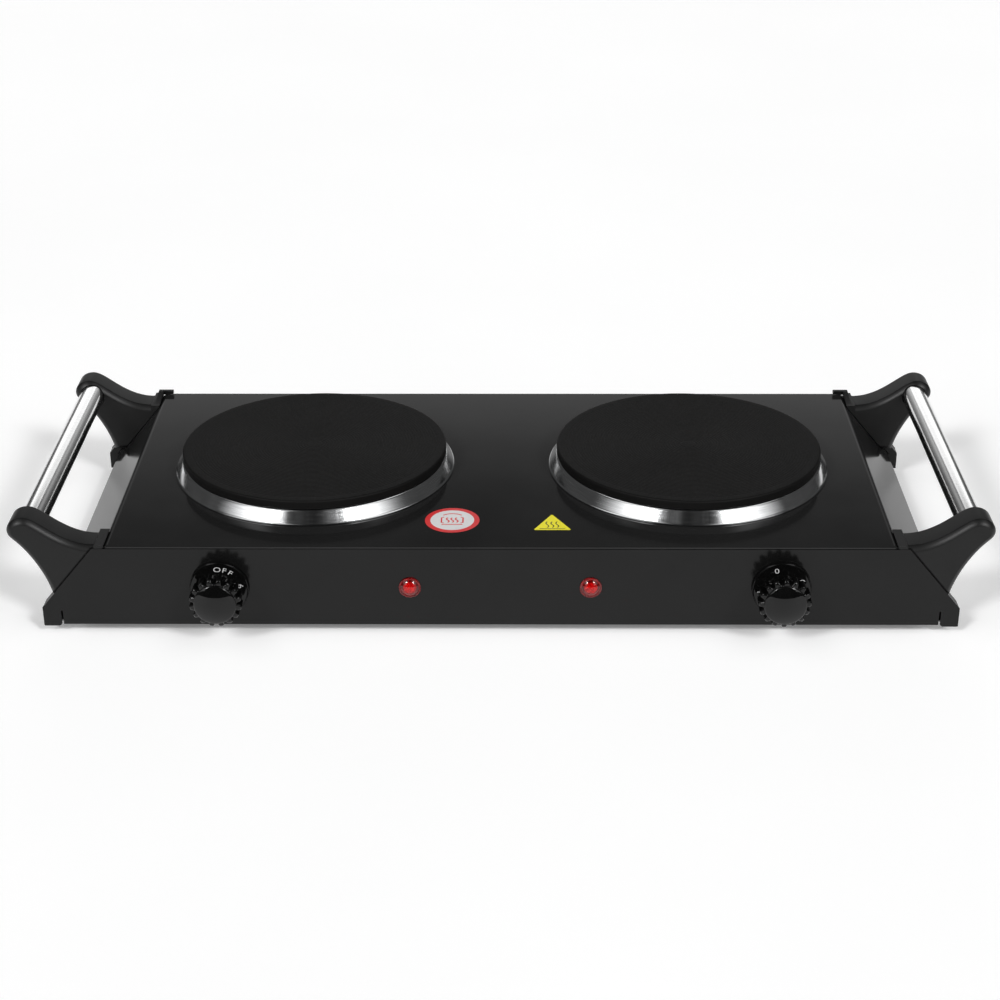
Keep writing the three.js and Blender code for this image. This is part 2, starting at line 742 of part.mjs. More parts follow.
// Drawn about its own middle, standing on z = 0, with three screw wells in its top.
function terminalBlock() {
  const [wide, deep, high] = [TERMINAL_HALF_WIDTH, TERMINAL_HALF_DEPTH, TERMINAL_HEIGHT];
  const wells = [-1, 0, 1].map((i) => {
    const x = i * TERMINAL_PITCH;
    return rod([x, 0, high - 6], [x, 0, high + 5], 2.4, 12);
  });
  return cut(block(-wide, wide, -deep, deep, 0, high), ...wells);
}

function cableGland() {
  const y = BODY_DEPTH;
  return turnedY([
    [4.2, y - 9],
    [9.5, y - 9],
    [9.5, y - SHEET - GAP],
    [GLAND_NECK, y - SHEET - GAP],
    [GLAND_NECK, y + GAP],
    [9, y + GAP],
    [8.4, y + 4],
    [6, y + GLAND_REACH],
    [4.2, y + GLAND_REACH],
    [4.2, y - 9],
  ], SMALL_ROUND);
}

// A push-in foot: its neck passes through the flange and the base plate.
function rubberFoot() {
  const top = -SHELL_DROP - GAP;
  const above = BASE_TOP + GAP;
  return turnedZ([
    [0, -FOOT_DROP],
    [FOOT_RADIUS - 1.5, -FOOT_DROP],
    [FOOT_RADIUS, -FOOT_DROP + 1.5],
    [FOOT_RADIUS, top],
    [FOOT_NECK, top],
    [FOOT_NECK, above],
    [4.6, above],
    [2.4, above + 3.5],
    [0, above + 3.5],
  ], SMALL_ROUND);
}

// A pan-head screw standing on its head, below the flange that it holds.
function baseScrew() {
  const seat = -SHELL_DROP - GAP;
  return turnedZ([
    [0, seat - 2.2],
    [2.4, seat - 2],
    [3.6, seat - 0.8],
    [3.6, seat],
    [1.6, seat],
    [1.6, -50],
    [0, -49],
  ], 12);
}

function earthScrew() {
  const seat = BASE_TOP + GAP;
  return turnedZ([
    [0, seat - 3],
    [1.6, seat - 3],
    [1.6, seat],
    [4, seat],
    [4, seat + 2.4],
    [0, seat + 2.4],
  ], 12);
}

function addFixings(parent) {
  for (const [name, side] of SIDES) {
    for (const [end, front] of [["front", true], ["rear", false]]) {
      const from = (inset) => (front ? inset : BODY_DEPTH - inset);
      const foot = add(parent, `rubber_foot_${end}_${name}`, rubberFoot(), rubber);
      foot.position.set(side * FOOT_X, from(FOOT_INSET), 0);
      const screw = add(parent, `base_screw_${end}_${name}`, baseScrew(), zincSteel);
      screw.position.set(side * BASE_SCREW_X, from(BASE_SCREW_INSET), 0);
    }
  }
  const earth = add(parent, "earth_screw", earthScrew(), zincSteel);
  earth.position.set(EARTH_X, EARTH_Y, 0);
  const terminals = add(parent, "terminal_block", terminalBlock(), ceramic);
  terminals.position.set(TERMINAL_X, TERMINAL_Y, BASE_TOP + GAP);
  const gland = add(parent, "cable_gland", cableGland(), blackPlastic);
  gland.position.set(GLAND_X, 0, GLAND_Z);
}

// Heat-proof wires between the terminal block, the thermostats and the coils' ends.
function addWires(parent) {
  const blockFront = TERMINAL_Y - TERMINAL_HALF_DEPTH - GAP;
  const low = -46;
  const tab = (side, x) => [side * KNOB_X + x, TAB_REACH + GAP, CONTROL_Z - 5];
  const coilEnd = (side, radius) => [side * PLATE_X, PLATE_Y - radius, COIL_END - GAP];
  const under = ([x, y, z], drop) => [x, y, z - drop];
  for (const [name, side] of SIDES) {
    const inner = coilEnd(side, COIL_INNER);
    const outer = coilEnd(side, COIL_OUTER);
    const live = tab(side, -TAB_X * side);
    const switched = tab(side, TAB_X * side);
    const [liveX, neutralX] = [TERMINAL_X + side * TERMINAL_PITCH, TERMINAL_X + side * 5];
    add(parent, `wire_live_${name}`, bent([
      [liveX, blockFront, low],
      [liveX - side * 2, blockFront - 30, low],
      [side * (KNOB_X + 30), 150, low],
      [live[0], 60, low + 8],
      [live[0], 42, live[2] - 1],
      live,
    ], WIRE_RADIUS, 6, 18), wireJacket);
    add(parent, `wire_neutral_${name}`, bent([
      [neutralX, blockFront, low + 5],
      [neutralX, blockFront - 25, low + 5],
      [side * 60, 150, low + 4],
      [side * 90, PLATE_Y - COIL_INNER, low + 4],
      [inner[0] - side * 8, inner[1], low + 8],
      under(inner, 8),
      inner,
    ], WIRE_RADIUS, 6, 18), wireJacket);
    add(parent, `wire_switched_${name}`, bent([
      switched,
      [switched[0], 42, switched[2] - 1],
      [switched[0] - side * 20, 56, low + 4],
      [outer[0] + side * 6, outer[1], low + 8],
      under(outer, 8),
      outer,
    ], WIRE_RADIUS, 6, 16), wireJacket);
  }
  add(parent, "wire_earth", bent([
    [TERMINAL_X + TERMINAL_HALF_WIDTH + GAP, TERMINAL_Y, low],
    [TERMINAL_X + 32, TERMINAL_Y, low],
    [EARTH_X - 20, EARTH_Y, low],
    [EARTH_X - 5, EARTH_Y, BASE_TOP + 1.8],
  ], WIRE_RADIUS, 6, 10), wireJacket);
}

// ---------------------------------------------------------------- assembly

const unit = new THREE.Group();
const frontReach = -KNOB_REACH;
const rearReach = BODY_DEPTH + GLAND_REACH;
unit.position.set(0, -(frontReach + rearReach) / 2, FOOT_DROP);

add(unit, "top_cover", topCover(), blackEnamel);
add(unit, "front_panel", frontPanel(), blackPanel);
add(unit, "rear_panel", rearPanel(), blackPanel);
add(unit, "base_plate", basePlate(), zincSteel);
addCheeks(unit);
addTubes(unit);
for (const [name, side] of SIDES) {
  addBurner(unit, name, side);
  addControl(unit, name, side);
  addLamp(unit, name, side);
}
addFixings(unit);
addWires(unit);

const group = new THREE.Group();
group.add(unit);

export default group;
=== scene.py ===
"""Looks of a table-top electric hot plate with two cast-iron plates, built round its CAD model.

Shapes are drawn in millimetres from the top front edge of the body, as the CAD is: x to the
right, y to the back from the front face, z up from the top face. on_frame() turns such a point
into the row frame, in metres.
"""
import json
import math
import random

import bmesh
import bpy
from mathutils import Matrix, Vector


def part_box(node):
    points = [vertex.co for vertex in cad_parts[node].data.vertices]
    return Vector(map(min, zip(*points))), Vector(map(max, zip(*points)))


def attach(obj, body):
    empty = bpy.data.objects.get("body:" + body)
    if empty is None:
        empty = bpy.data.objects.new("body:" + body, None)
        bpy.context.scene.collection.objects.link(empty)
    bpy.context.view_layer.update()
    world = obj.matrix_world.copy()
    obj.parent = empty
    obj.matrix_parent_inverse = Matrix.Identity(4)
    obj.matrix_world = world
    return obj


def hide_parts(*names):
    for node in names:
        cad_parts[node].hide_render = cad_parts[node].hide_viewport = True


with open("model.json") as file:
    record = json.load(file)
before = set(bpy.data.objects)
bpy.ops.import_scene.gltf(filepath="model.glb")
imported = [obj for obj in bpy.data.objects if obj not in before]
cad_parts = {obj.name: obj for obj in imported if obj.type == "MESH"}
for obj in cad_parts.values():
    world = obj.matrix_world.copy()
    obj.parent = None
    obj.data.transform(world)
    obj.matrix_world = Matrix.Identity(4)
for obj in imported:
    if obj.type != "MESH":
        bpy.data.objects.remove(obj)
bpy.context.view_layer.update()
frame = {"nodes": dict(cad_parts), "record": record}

MM = 0.001
FRONT_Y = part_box("front_panel")[0].y
TOP_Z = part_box("top_cover")[1].z
DEPTH = (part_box("rear_panel")[1].y - FRONT_Y) / MM

# ------------------------------------------------------------- driving sizes, in millimetres

GAP = 0.3
SHEET = 1
TOP_HALF_WIDTH = 258.7
SLOPE_DROP = 45
SLOPE_RUN = 37.4
SHELL_DROP = 57.5
PANEL_PROUD = 7.1
PANEL_TOP = 1.5
CORNER_LIP = 1.3
CORNER_WIDTH = 12
CORNER_SLOT = 10
FOOT_RADIUS = 6
FOOT_NECK = 3.3
FLANGE_DEPTH = 24
FLANGE_HALF_WIDTH = 280
BEND_RADIUS = 5
FOOT_HOLE = 3.6
SCREW_HOLE = 2
SHAFT_HOLE = 4.5
GLAND_RADIUS = 7
VENT_PITCH = 16
VENT_HALF_WIDTH = 2
VENT_SPAN = (-42, -22)

PLATE_RADIUS = 92.5
PLATE_TOP = 15.9
PLATE_EDGE = 6.1
PLATE_WALL_RADIUS = 86.2
GROOVE_PITCH = 2
GROOVE_DEPTH = 0.11
GROOVE_FIRST = 5
GROOVE_LAST = 87
RING_RADIUS = 97.9
CUTOUT_RADIUS = 89

CONTROL_Z = -29.5
DIAL_RADIUS = 19.5
DIAL_FACE = -3.2
MARK_RADIUS = 14.3
MARK_HEIGHT = 5
MARK_STRETCH = 1.3
GRIP_LOBES = 16
CAP_RADIUS = 13.8
CAP_DOME = 3.6
KNOB_REACH = 28.5
LENS_RADIUS = 7.2
LAMP_BARREL = 5.6

CHEEK_DEPTH = 25
CHEEK_ROUND = 4
CHEEK_FOOT_DEPTH = 11
CHEEK_SCREW_DROP = 20
SEAM_DEPTH = 2
LOBE_X = 311
LOBE_Z = 19.4
LOBE_REACH = 322
TUBE_X = 309.3
TUBE_Z = 8
TUBE_RADIUS = 8.75
TUBE_WALL = 1
SOCKET_DEPTH = 15

SIDES = (("left", -1), ("right", 1))


def centre_of(node):
    """The middle of a CAD node's box, in millimetres from the top front edge."""
    low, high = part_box(node)
    middle = (low + high) / 2
    return middle.x / MM, (middle.y - FRONT_Y) / MM, (middle.z - TOP_Z) / MM


PLATE_X = centre_of("hot_plate_right")[0]
PLATE_Y = centre_of("hot_plate_right")[1]
KNOB_X = centre_of("knob_right")[0]
LAMP_X = centre_of("lamp_lens_right")[0]
FOOT_X = centre_of("rubber_foot_front_right")[0]
FOOT_INSET = centre_of("rubber_foot_front_right")[1]
FOOT_DROP = (TOP_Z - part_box("rubber_foot_front_right")[0].z) / MM
SCREW_X = centre_of("base_screw_front_right")[0]
SCREW_INSET = centre_of("base_screw_front_right")[1]
GLAND_X, _, GLAND_Z = centre_of("cable_gland")
GLAND_REACH = (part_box("cable_gland")[1].y - FRONT_Y) / MM - DEPTH


def on_frame(point):
    x, y, z = point
    return x * MM, FRONT_Y + y * MM, TOP_Z + z * MM


# ------------------------------------------------------------- outlines


def rounded(corners, steps=5):
    """An outline whose corners are (a, b) or (a, b, radius), the latter turned into arcs."""
    made = []
    for i, corner in enumerate(corners):
        here = Vector(corner[:2])
        if len(corner) == 2:
            made.append(tuple(here))
            continue
        radius = corner[2]
        before = (Vector(corners[i - 1][:2]) - here).normalized()
        after = (Vector(corners[(i + 1) % len(corners)][:2]) - here).normalized()
        half = before.angle(after) / 2
        centre = here + (before + after).normalized() * radius / math.sin(half)
        start = here + before * radius / math.tan(half) - centre
        end = here + after * radius / math.tan(half) - centre
        turn = math.atan2(start.x * end.y - start.y * end.x, start.dot(end))
        for k in range(steps + 1):
            c, s = math.cos(turn * k / steps), math.sin(turn * k / steps)
            made.append((centre.x + c * start.x - s * start.y, centre.y + s * start.x + c * start.y))
    return made


def bezier(start, pull_a, pull_b, end, steps=24):
    """Points along a cubic curve, without its start."""
    made = []
    for k in range(1, steps + 1):
        t = k / steps
        weights = ((1 - t) ** 3, 3 * t * (1 - t) ** 2, 3 * t * t * (1 - t), t ** 3)
        points = (start, pull_a, pull_b, end)
        made.append(tuple(sum(w * p[i] for w, p in zip(weights, points)) for i in (0, 1)))
    return made


def inset(outline, distance):
    """The outline moved inwards, to the left of its direction of travel."""
    made = []
    for i, point in enumerate(outline):
        here = Vector(point)
        into = (here - Vector(outline[i - 1])).normalized()
        out = (Vector(outline[(i + 1) % len(outline)]) - here).normalized()
        inward = Vector((-into.y - out.y, into.x + out.x)).normalized()
        stretch = max(0.3, inward.dot(Vector((-out.y, out.x))))
        made.append(tuple(here + inward * distance / stretch))
    return made


def mirrored(right):
    """The right-hand half of an outline followed by its mirror image across x = 0."""
    left = [(-corner[0], *corner[1:]) for corner in reversed(right)]
    return [*right, *left]


def slope_x(drop):
    return TOP_HALF_WIDTH + SLOPE_RUN * min(drop, SLOPE_DROP) / SLOPE_DROP


# ------------------------------------------------------------- meshes


def object_of(name, vertices, faces):
    """A mesh object in the row frame, with doubled points joined and its faces turned outwards."""
    mesh = bpy.data.meshes.new(name)
    mesh.from_pydata([on_frame(v) for v in vertices], [], faces)
    grid = bmesh.new()
    grid.from_mesh(mesh)
    bmesh.ops.remove_doubles(grid, verts=grid.verts, dist=1e-7)
    bmesh.ops.recalc_face_normals(grid, faces=grid.faces)
    grid.to_mesh(mesh)
    grid.free()
    made = bpy.data.objects.new(name, mesh)
    bpy.context.scene.collection.objects.link(made)
    return made


def lofted(name, rings, closed=False):
    """A skin over rings of points. A ring of one point is a tip; open ends get a flat face."""
    vertices, faces, starts = [], [], []
    for ring in rings:
        starts.append(len(vertices))
        vertices += ring
    pairs = list(zip(range(len(rings)), range(1, len(rings))))
    if closed:
        pairs.append((len(rings) - 1, 0))
    for a, b in pairs:
        count = max(len(rings[a]), len(rings[b]))
        for i in range(count):
            j = (i + 1) % count
            low = [starts[a]] if len(rings[a]) == 1 else [starts[a] + i, starts[a] + j]
            high = [starts[b]] if len(rings[b]) == 1 else [starts[b] + j, starts[b] + i]
            faces.append(low + high)
    if not closed:
        for start, ring in ((starts[0], rings[0]), (starts[-1], rings[-1])):
            if len(ring) > 1:
                faces.append(list(range(start, start + len(ring))))
    return object_of(name, vertices, faces)


def circle(radius, sides):
    steps = [2 * math.pi * i / sides for i in range(sides)]
    return [(radius * math.cos(a), radius * math.sin(a)) for a in steps]


def lying(flat, centre, height):
    """Flat points laid level, at a height above a centre."""
    return [(centre[0] + a, centre[1] + b, centre[2] + height) for a, b in flat]


def standing(flat, centre, height):
    """Flat points stood up to face the front, at a distance behind a centre."""
    return [(centre[0] + a, centre[1] + height, centre[2] + b) for a, b in flat]


def turned(name, profile, centre, pose=lying, sides=96):
    """A profile of (radius, height) points turned round an axis: upright, or to the back if standing."""
    closed = profile[0] == profile[-1]
    rings = []
    for radius, height in profile[:-1] if closed else profile:
        flat = circle(radius, sides) if radius > 0 else [(0, 0)]
        rings.append(pose(flat, centre, height))
    return lofted(name, rings, closed)


def slab(name, outline, y0, y1):
    return lofted(name, [[(x, y, z) for x, z in outline] for y in (y0, y1)])


def soft_slab(name, outline, y0, y1, radius, flatness=0.5, steps=8):
    """A slab whose front and back edges are rounded off, or bevelled as flatness nears 1."""
    front = []
    for k in range(steps + 1):
        share = k / steps
        angle = math.pi / 2 * share
        inwards = (1 - flatness) * (1 - math.sin(angle)) + flatness * (1 - share)
        depth = (1 - flatness) * (1 - math.cos(angle)) + flatness * share
        front.append((radius * inwards, radius * depth))
    rings = [[(x, y0 + y, z) for x, z in inset(outline, d)] for d, y in front]
    rings += [[(x, y1 - y, z) for x, z in inset(outline, d)] for d, y in reversed(front)]
    return lofted(name, rings)


def block(name, x, y, z):
    """A box from (low, high) along each axis."""
    outline = [(x[0], z[0]), (x[1], z[0]), (x[1], z[1]), (x[0], z[1])]
    return slab(name, outline, *y)


def rod(name, start, end, radius, sides=48):
    """A plain round bar between two points, used to drill holes."""
    start, end = Vector(start), Vector(end)
    turn = (end - start).to_track_quat("Z", "Y")
    rings = []
    for point in (start, end):
        rings.append([tuple(point + turn @ Vector((a, b, 0))) for a, b in circle(radius, sides)])
    return lofted(name, rings)


def bake_modifiers(piece):
    shown = piece.evaluated_get(bpy.context.evaluated_depsgraph_get())
    mesh = bpy.data.meshes.new_from_object(shown)
    piece.modifiers.clear()
    piece.data = mesh


def combine(piece, operation, *others):
    """Joins the others to a piece, or cuts them out of it, and removes them."""
    for other in others:
        modifier = piece.modifiers.new("combine", "BOOLEAN")
        modifier.operation = operation
        modifier.solver = "EXACT"
        modifier.object = other
        bpy.context.view_layer.update()
        bake_modifiers(piece)
        bpy.data.objects.remove(other)
    return piece


def join(piece, *others):
    return combine(piece, "UNION", *others)


def cut(piece, *others):
    return combine(piece, "DIFFERENCE", *others)


def mirror_copy(piece, name, across_x=False, across_y=False):
    """A copy mirrored across the middle of the body's width or depth."""
    mesh = piece.data.copy()
    middle = FRONT_Y + DEPTH / 2 * MM
    for vertex in mesh.vertices:
        if across_x:
            vertex.co.x = -vertex.co.x
        if across_y:
            vertex.co.y = 2 * middle - vertex.co.y
    if across_x != across_y:
        mesh.flip_normals()
    made = bpy.data.objects.new(name, mesh)
    bpy.context.scene.collection.objects.link(made)
    return made


def soften(piece, width=0.0, sharp=32):
    """Rounds a piece's edges by a width, if given, and shades it with its flat faces kept flat."""
    if width:
        bevel = piece.modifiers.new("edges", "BEVEL")
        bevel.width = width * MM
        bevel.segments = 2
        bevel.limit_method = "ANGLE"
        bevel.angle_limit = math.radians(sharp)
        bevel.use_clamp_overlap = True
        bake_modifiers(piece)
    piece.data.shade_smooth()
    piece.data.set_sharp_from_angle(angle=math.radians(sharp))
    normals = piece.modifiers.new("normals", "WEIGHTED_NORMAL")
    normals.keep_sharp = True
    normals.weight = 100
    return piece


def place(piece, material, body="housing", stands_for=()):
    piece.data.materials.clear()
    piece.data.materials.append(material)
    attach(piece, body)
    if stands_for:
        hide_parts(*stands_for)
    return piece


# ------------------------------------------------------------- node graphs


class Graph:
    """A node tree with short calls for the nodes that the materials use."""

    def __init__(self, tree):
        self.tree = tree

    def node(self, kind, **settings):
        made = self.tree.nodes.new(kind)
        for name, value in settings.items():
            setattr(made, name, value)
        return made

    def feed(self, socket, value):
        if isinstance(value, bpy.types.NodeSocket):
            self.tree.links.new(value, socket)
        else:
            socket.default_value = value

    def math(self, operation, *values):
        made = self.node("ShaderNodeMath", operation=operation)
        for socket, value in zip(made.inputs, values):
            self.feed(socket, value)
        return made.outputs[0]

    def vector(self, operation, *values):
        made = self.node("ShaderNodeVectorMath", operation=operation)
        for socket, value in zip(made.inputs, values):
            self.feed(socket, value)
        return made.outputs["Value" if operation == "LENGTH" else "Vector"]

    def step(self, value, start, end, low=0.0, high=1.0):
        """A smooth change from low at start to high at end."""
        made = self.node("ShaderNodeMapRange", interpolation_type="SMOOTHSTEP")
        for socket, number in zip(made.inputs, (value, start, end, low, high)):
            self.feed(socket, number)
        return made.outputs[0]

    def mix(self, share, first, second):
        made = self.node("ShaderNodeMix", data_type="RGBA")
        self.feed(made.inputs[0], share)
        self.feed(made.inputs[6], first)
        self.feed(made.inputs[7], second)
        return made.outputs[2]

    def place(self, scale=(1, 1, 1), centre=(0, 0, 0)):
        """The object's own coordinates from a centre, stretched by a scale."""
        coordinates = self.node("ShaderNodeTexCoord").outputs["Object"]
        offset = self.vector("SUBTRACT", coordinates, centre)
        return self.vector("MULTIPLY", offset, scale)

    def noise(self, vector, scale, detail=3.0, roughness=0.55):
        made = self.node("ShaderNodeTexNoise")
        self.feed(made.inputs["Vector"], vector)
        made.inputs["Scale"].default_value = scale
        made.inputs["Detail"].default_value = detail
        made.inputs["Roughness"].default_value = roughness
        return made.outputs["Fac"]

    def cells(self, vector, scale):
        made = self.node("ShaderNodeTexVoronoi", feature="F1")
        self.feed(made.inputs["Vector"], vector)
        made.inputs["Scale"].default_value = scale
        return made.outputs["Distance"]

    def bump(self, height, strength, distance):
        made = self.node("ShaderNodeBump")
        made.inputs["Strength"].default_value = strength
        made.inputs["Distance"].default_value = distance
        self.feed(made.inputs["Height"], height)
        return made.outputs[0]


def grey(value, warm=0.0):
    return (value * (1 + warm), value, value * (1 - warm), 1)


def surface(name, **sockets):
    """A material with one Principled shader. Numbers and colours go straight on its sockets."""
    material = bpy.data.materials.new(name)
    material.use_nodes = True
    shader = material.node_tree.nodes["Principled BSDF"]
    for socket, value in sockets.items():
        shader.inputs[socket.replace("_", " ")].default_value = value
    return material, Graph(material.node_tree), shader


def dress(graph, shader, colour, rough, relief):
    """Feeds a shader's colour, roughness and relief: a height, its strength and its depth in mm."""
    height, strength, depth = relief
    graph.feed(shader.inputs["Base Color"], colour)
    graph.feed(shader.inputs["Roughness"], rough)
    graph.feed(shader.inputs["Normal"], graph.bump(height, strength, depth * MM))


def grained(name, dark, light, rough, grain, bump, wander=18.0, **sockets):
    """A surface whose colour and gloss wander a little and whose grain is a fine noise.

    rough is (low, high), grain the grain's scale per metre, bump (strength, depth in mm)."""
    material, graph, shader = surface(name, **sockets)
    here = graph.place()
    broad = graph.noise(here, wander, 4)
    fine = graph.noise(here, grain, 2)
    blend = graph.math("ADD", graph.math("MULTIPLY", broad, 0.7), graph.math("MULTIPLY", fine, 0.3))
    colour = graph.mix(graph.step(blend, 0.3, 0.7), dark, light)
    dress(graph, shader, colour, graph.step(broad, 0.3, 0.7, *rough), (fine, *bump))
    return material


# ------------------------------------------------------------- materials


def enamel():
    """Glossy black lacquer with a faint orange peel and a few hairline wipe marks.

    Its shine is turned down on bends and steep sides, which look duller than the flat top."""
    material, graph, shader = surface("black_enamel")
    split = graph.node("ShaderNodeSeparateXYZ")
    graph.feed(split.inputs[0], graph.node("ShaderNodeTexCoord").outputs["Normal"])
    lean = graph.math("ABSOLUTE", split.outputs[0])
    graph.feed(shader.inputs["Specular IOR Level"], graph.step(lean, 0.05, 0.4, 0.3, 0.02))
    here = graph.place()
    broad = graph.noise(here, 9.0, 3)
    peel = graph.noise(here, 420.0, 2)
    wipes = graph.noise(graph.place((30, 900, 30)), 3.0, 2)
    colour = graph.mix(graph.step(broad, 0.35, 0.7), grey(0.011), grey(0.013))
    gloss = graph.step(broad, 0.3, 0.7, 0.07, 0.11)
    rough = graph.math("ADD", gloss, graph.step(wipes, 0.6, 0.8, 0, 0.04))
    dress(graph, shader, colour, rough, (peel, 0.05, 0.02))
    return material


def panel_coat():
    """Satin black powder coat with a fine even grain."""
    return grained("black_panel", grey(0.0045), grey(0.0062), (0.12, 0.16), 2200.0, (0.06, 0.02),
                   Specular_IOR_Level=0.24)


def cheek_plastic():
    """Heat-proof black plastic with the fine spark texture of its mould."""
    material, graph, shader = surface("black_plastic", Specular_IOR_Level=0.26)
    here = graph.place()
    spark = graph.cells(here, 1500.0)
    broad = graph.noise(here, 25.0, 4)
    colour = graph.mix(graph.step(broad, 0.3, 0.7), grey(0.005), grey(0.0072))
    dress(graph, shader, colour, graph.step(broad, 0.3, 0.7, 0.36, 0.43), (spark, 0.12, 0.04))
    return material


def knob_plastic():
    return grained("knob_plastic", grey(0.002), grey(0.0035), (0.03, 0.06), 500.0, (0.03, 0.02),
                   wander=60.0, Specular_IOR_Level=0.32)


def cast_iron():
    """Seasoned cast iron: dull, dark and slightly mottled, with fine pores."""
    material, graph, shader = surface("cast_iron", Specular_IOR_Level=0.1)
    here = graph.place()
    broad = graph.noise(here, 14.0, 5)
    pores = graph.noise(here, 1700.0, 3)
    blend = graph.math("ADD", graph.math("MULTIPLY", broad, 0.6), graph.math("MULTIPLY", pores, 0.4))
    colour = graph.mix(graph.step(blend, 0.35, 0.68), grey(0.004, 0.02), grey(0.006, 0.03))
    dress(graph, shader, colour, graph.step(pores, 0.3, 0.75, 0.5, 0.68), (pores, 0.25, 0.05))
    return material


def spun_steel(name, centre):
    """Bright steel spun on a lathe: hair-thin streaks follow the ring round."""
    material, graph, shader = surface(name, Metallic=1.0)
    middle = on_frame((*centre, 0))
    offset = graph.place(centre=(middle[0], middle[1], 0))
    flat = graph.vector("MULTIPLY", offset, (1, 1, 0))
    split = graph.node("ShaderNodeSeparateXYZ")
    graph.feed(split.inputs[0], offset)
    depth = graph.math("SUBTRACT", graph.vector("LENGTH", flat), split.outputs[2])
    around = graph.vector("MULTIPLY", graph.vector("NORMALIZE", flat), (6, 6, 0))
    across = graph.node("ShaderNodeCombineXYZ")
    graph.feed(across.inputs[2], graph.math("MULTIPLY", depth, 2600.0))
    streaks = graph.noise(graph.vector("ADD", around, across.outputs[0]), 1.0, 4)
    smears = graph.noise(around, 1.5, 4)
    colour = graph.mix(graph.step(streaks, 0.3, 0.7), grey(0.6, -0.01), grey(0.74, -0.01))
    gloss = graph.step(smears, 0.3, 0.7, 0.1, 0.17)
    rough = graph.math("ADD", gloss, graph.step(streaks, 0.5, 0.8, 0, 0.08))
    dress(graph, shader, colour, rough, (streaks, 0.12, 0.02))
    return material


def handle_steel():
    """Polished stainless tube with faint rings left by the polishing belt."""
    material, graph, shader = surface("chromed_tube", Metallic=1.0)
    rings = graph.noise(graph.place((40, 5200, 40)), 1.0, 3)
    broad = graph.noise(graph.place(), 20.0, 3)
    colour = graph.mix(graph.step(rings, 0.3, 0.7), grey(0.7), grey(0.8))
    gloss = graph.step(broad, 0.3, 0.7, 0.12, 0.16)
    rough = graph.math("ADD", gloss, graph.step(rings, 0.5, 0.8, 0, 0.06))
    dress(graph, shader, colour, rough, (rings, 0.06, 0.01))
    return material


def zinc():
    """Galvanised sheet with soft grey spangles."""
    material, graph, shader = surface("zinc_steel", Metallic=0.9)
    here = graph.place()
    spangle = graph.cells(here, 110.0)
    fine = graph.noise(here, 700.0, 3)
    colour = graph.mix(graph.step(spangle, 0.1, 0.7), grey(0.34, -0.02), grey(0.5))
    dress(graph, shader, colour, graph.step(spangle, 0.1, 0.7, 0.34, 0.5), (fine, 0.1, 0.02))
    return material


def brushed_aluminium():
    material, graph, shader = surface("aluminium_sheet", Metallic=0.9)
    lines = graph.noise(graph.place((60, 2400, 60)), 1.0, 4)
    colour = graph.mix(graph.step(lines, 0.3, 0.7), grey(0.42), grey(0.62))
    dress(graph, shader, colour, graph.step(lines, 0.3, 0.7, 0.28, 0.42), (lines, 0.1, 0.02))
    return material


def braided(name, dark, light):
    """A woven glass-fibre sleeve."""
    material, graph, shader = surface(name)
    here = graph.place()
    weave = graph.cells(here, 1400.0)
    colour = graph.mix(graph.step(weave, 0.15, 0.6), dark, light)
    dress(graph, shader, colour, graph.step(weave, 0.1, 0.7, 0.6, 0.8), (weave, 0.4, 0.2))
    return material


def red_lens():
    """Clear red plastic, a little cloudy."""
    material, graph, shader = surface("red_lens", Transmission_Weight=0.92, IOR=1.49)
    here = graph.place()
    cloud = graph.noise(here, 260.0, 3)
    deep, pale = (0.85, 0.01, 0.012, 1), (0.96, 0.04, 0.04, 1)
    colour = graph.mix(graph.step(cloud, 0.35, 0.7), deep, pale)
    dress(graph, shader, colour, graph.step(cloud, 0.3, 0.7, 0.0, 0.04), (cloud, 0.05, 0.05))
    return material


FINISHES = {
    "black_enamel": enamel(),
    "black_panel": panel_coat(),
    "black_plastic": cheek_plastic(),
    "knob_plastic": knob_plastic(),
    "cast_iron": cast_iron(),
    "polished_steel_left": spun_steel("polished_steel_left", (-PLATE_X, PLATE_Y)),
    "polished_steel_right": spun_steel("polished_steel_right", (PLATE_X, PLATE_Y)),
    "chromed_tube": handle_steel(),
    "zinc_steel": zinc(),
    "aluminium_sheet": brushed_aluminium(),
    "heater_sheath": grained("heater_sheath", grey(0.06, 0.08), grey(0.13, 0.12), (0.45, 0.65),
                             900.0, (0.2, 0.05), Metallic=0.6),
    "ceramic": grained("ceramic", (0.62, 0.57, 0.47, 1), (0.75, 0.71, 0.62, 1), (0.5, 0.65),
                       800.0, (0.15, 0.05)),
    "red_lens": red_lens(),
    "lamp_core": grained("lamp_core", (0.75, 0.16, 0.13, 1), (0.98, 0.6, 0.52, 1), (0.1, 0.25),
                         500.0, (0.1, 0.05), wander=220.0),
    "rubber": grained("rubber", grey(0.012), grey(0.022), (0.7, 0.85), 1200.0, (0.3, 0.06)),
    "wire_jacket": braided("wire_jacket", grey(0.3, 0.06), grey(0.52, 0.06)),
    "print_white": grained("print_white", grey(0.62), grey(0.72), (0.4, 0.5), 900.0, (0.05, 0.01)),
    "vinyl_white": grained("vinyl_white", grey(0.66), grey(0.74), (0.3, 0.4), 600.0, (0.05, 0.02)),
    "vinyl_red": grained("vinyl_red", (0.6, 0.02, 0.025, 1), (0.7, 0.035, 0.035, 1), (0.3, 0.4),
                         600.0, (0.05, 0.02)),
    "vinyl_yellow": grained("vinyl_yellow", (0.8, 0.72, 0.01, 1), (0.88, 0.8, 0.02, 1),
                            (0.3, 0.4), 600.0, (0.05, 0.02)),
    "vinyl_black": grained("vinyl_black", grey(0.01), grey(0.02), (0.35, 0.45), 600.0, (0.05, 0.02)),
}

# ------------------------------------------------------------- body


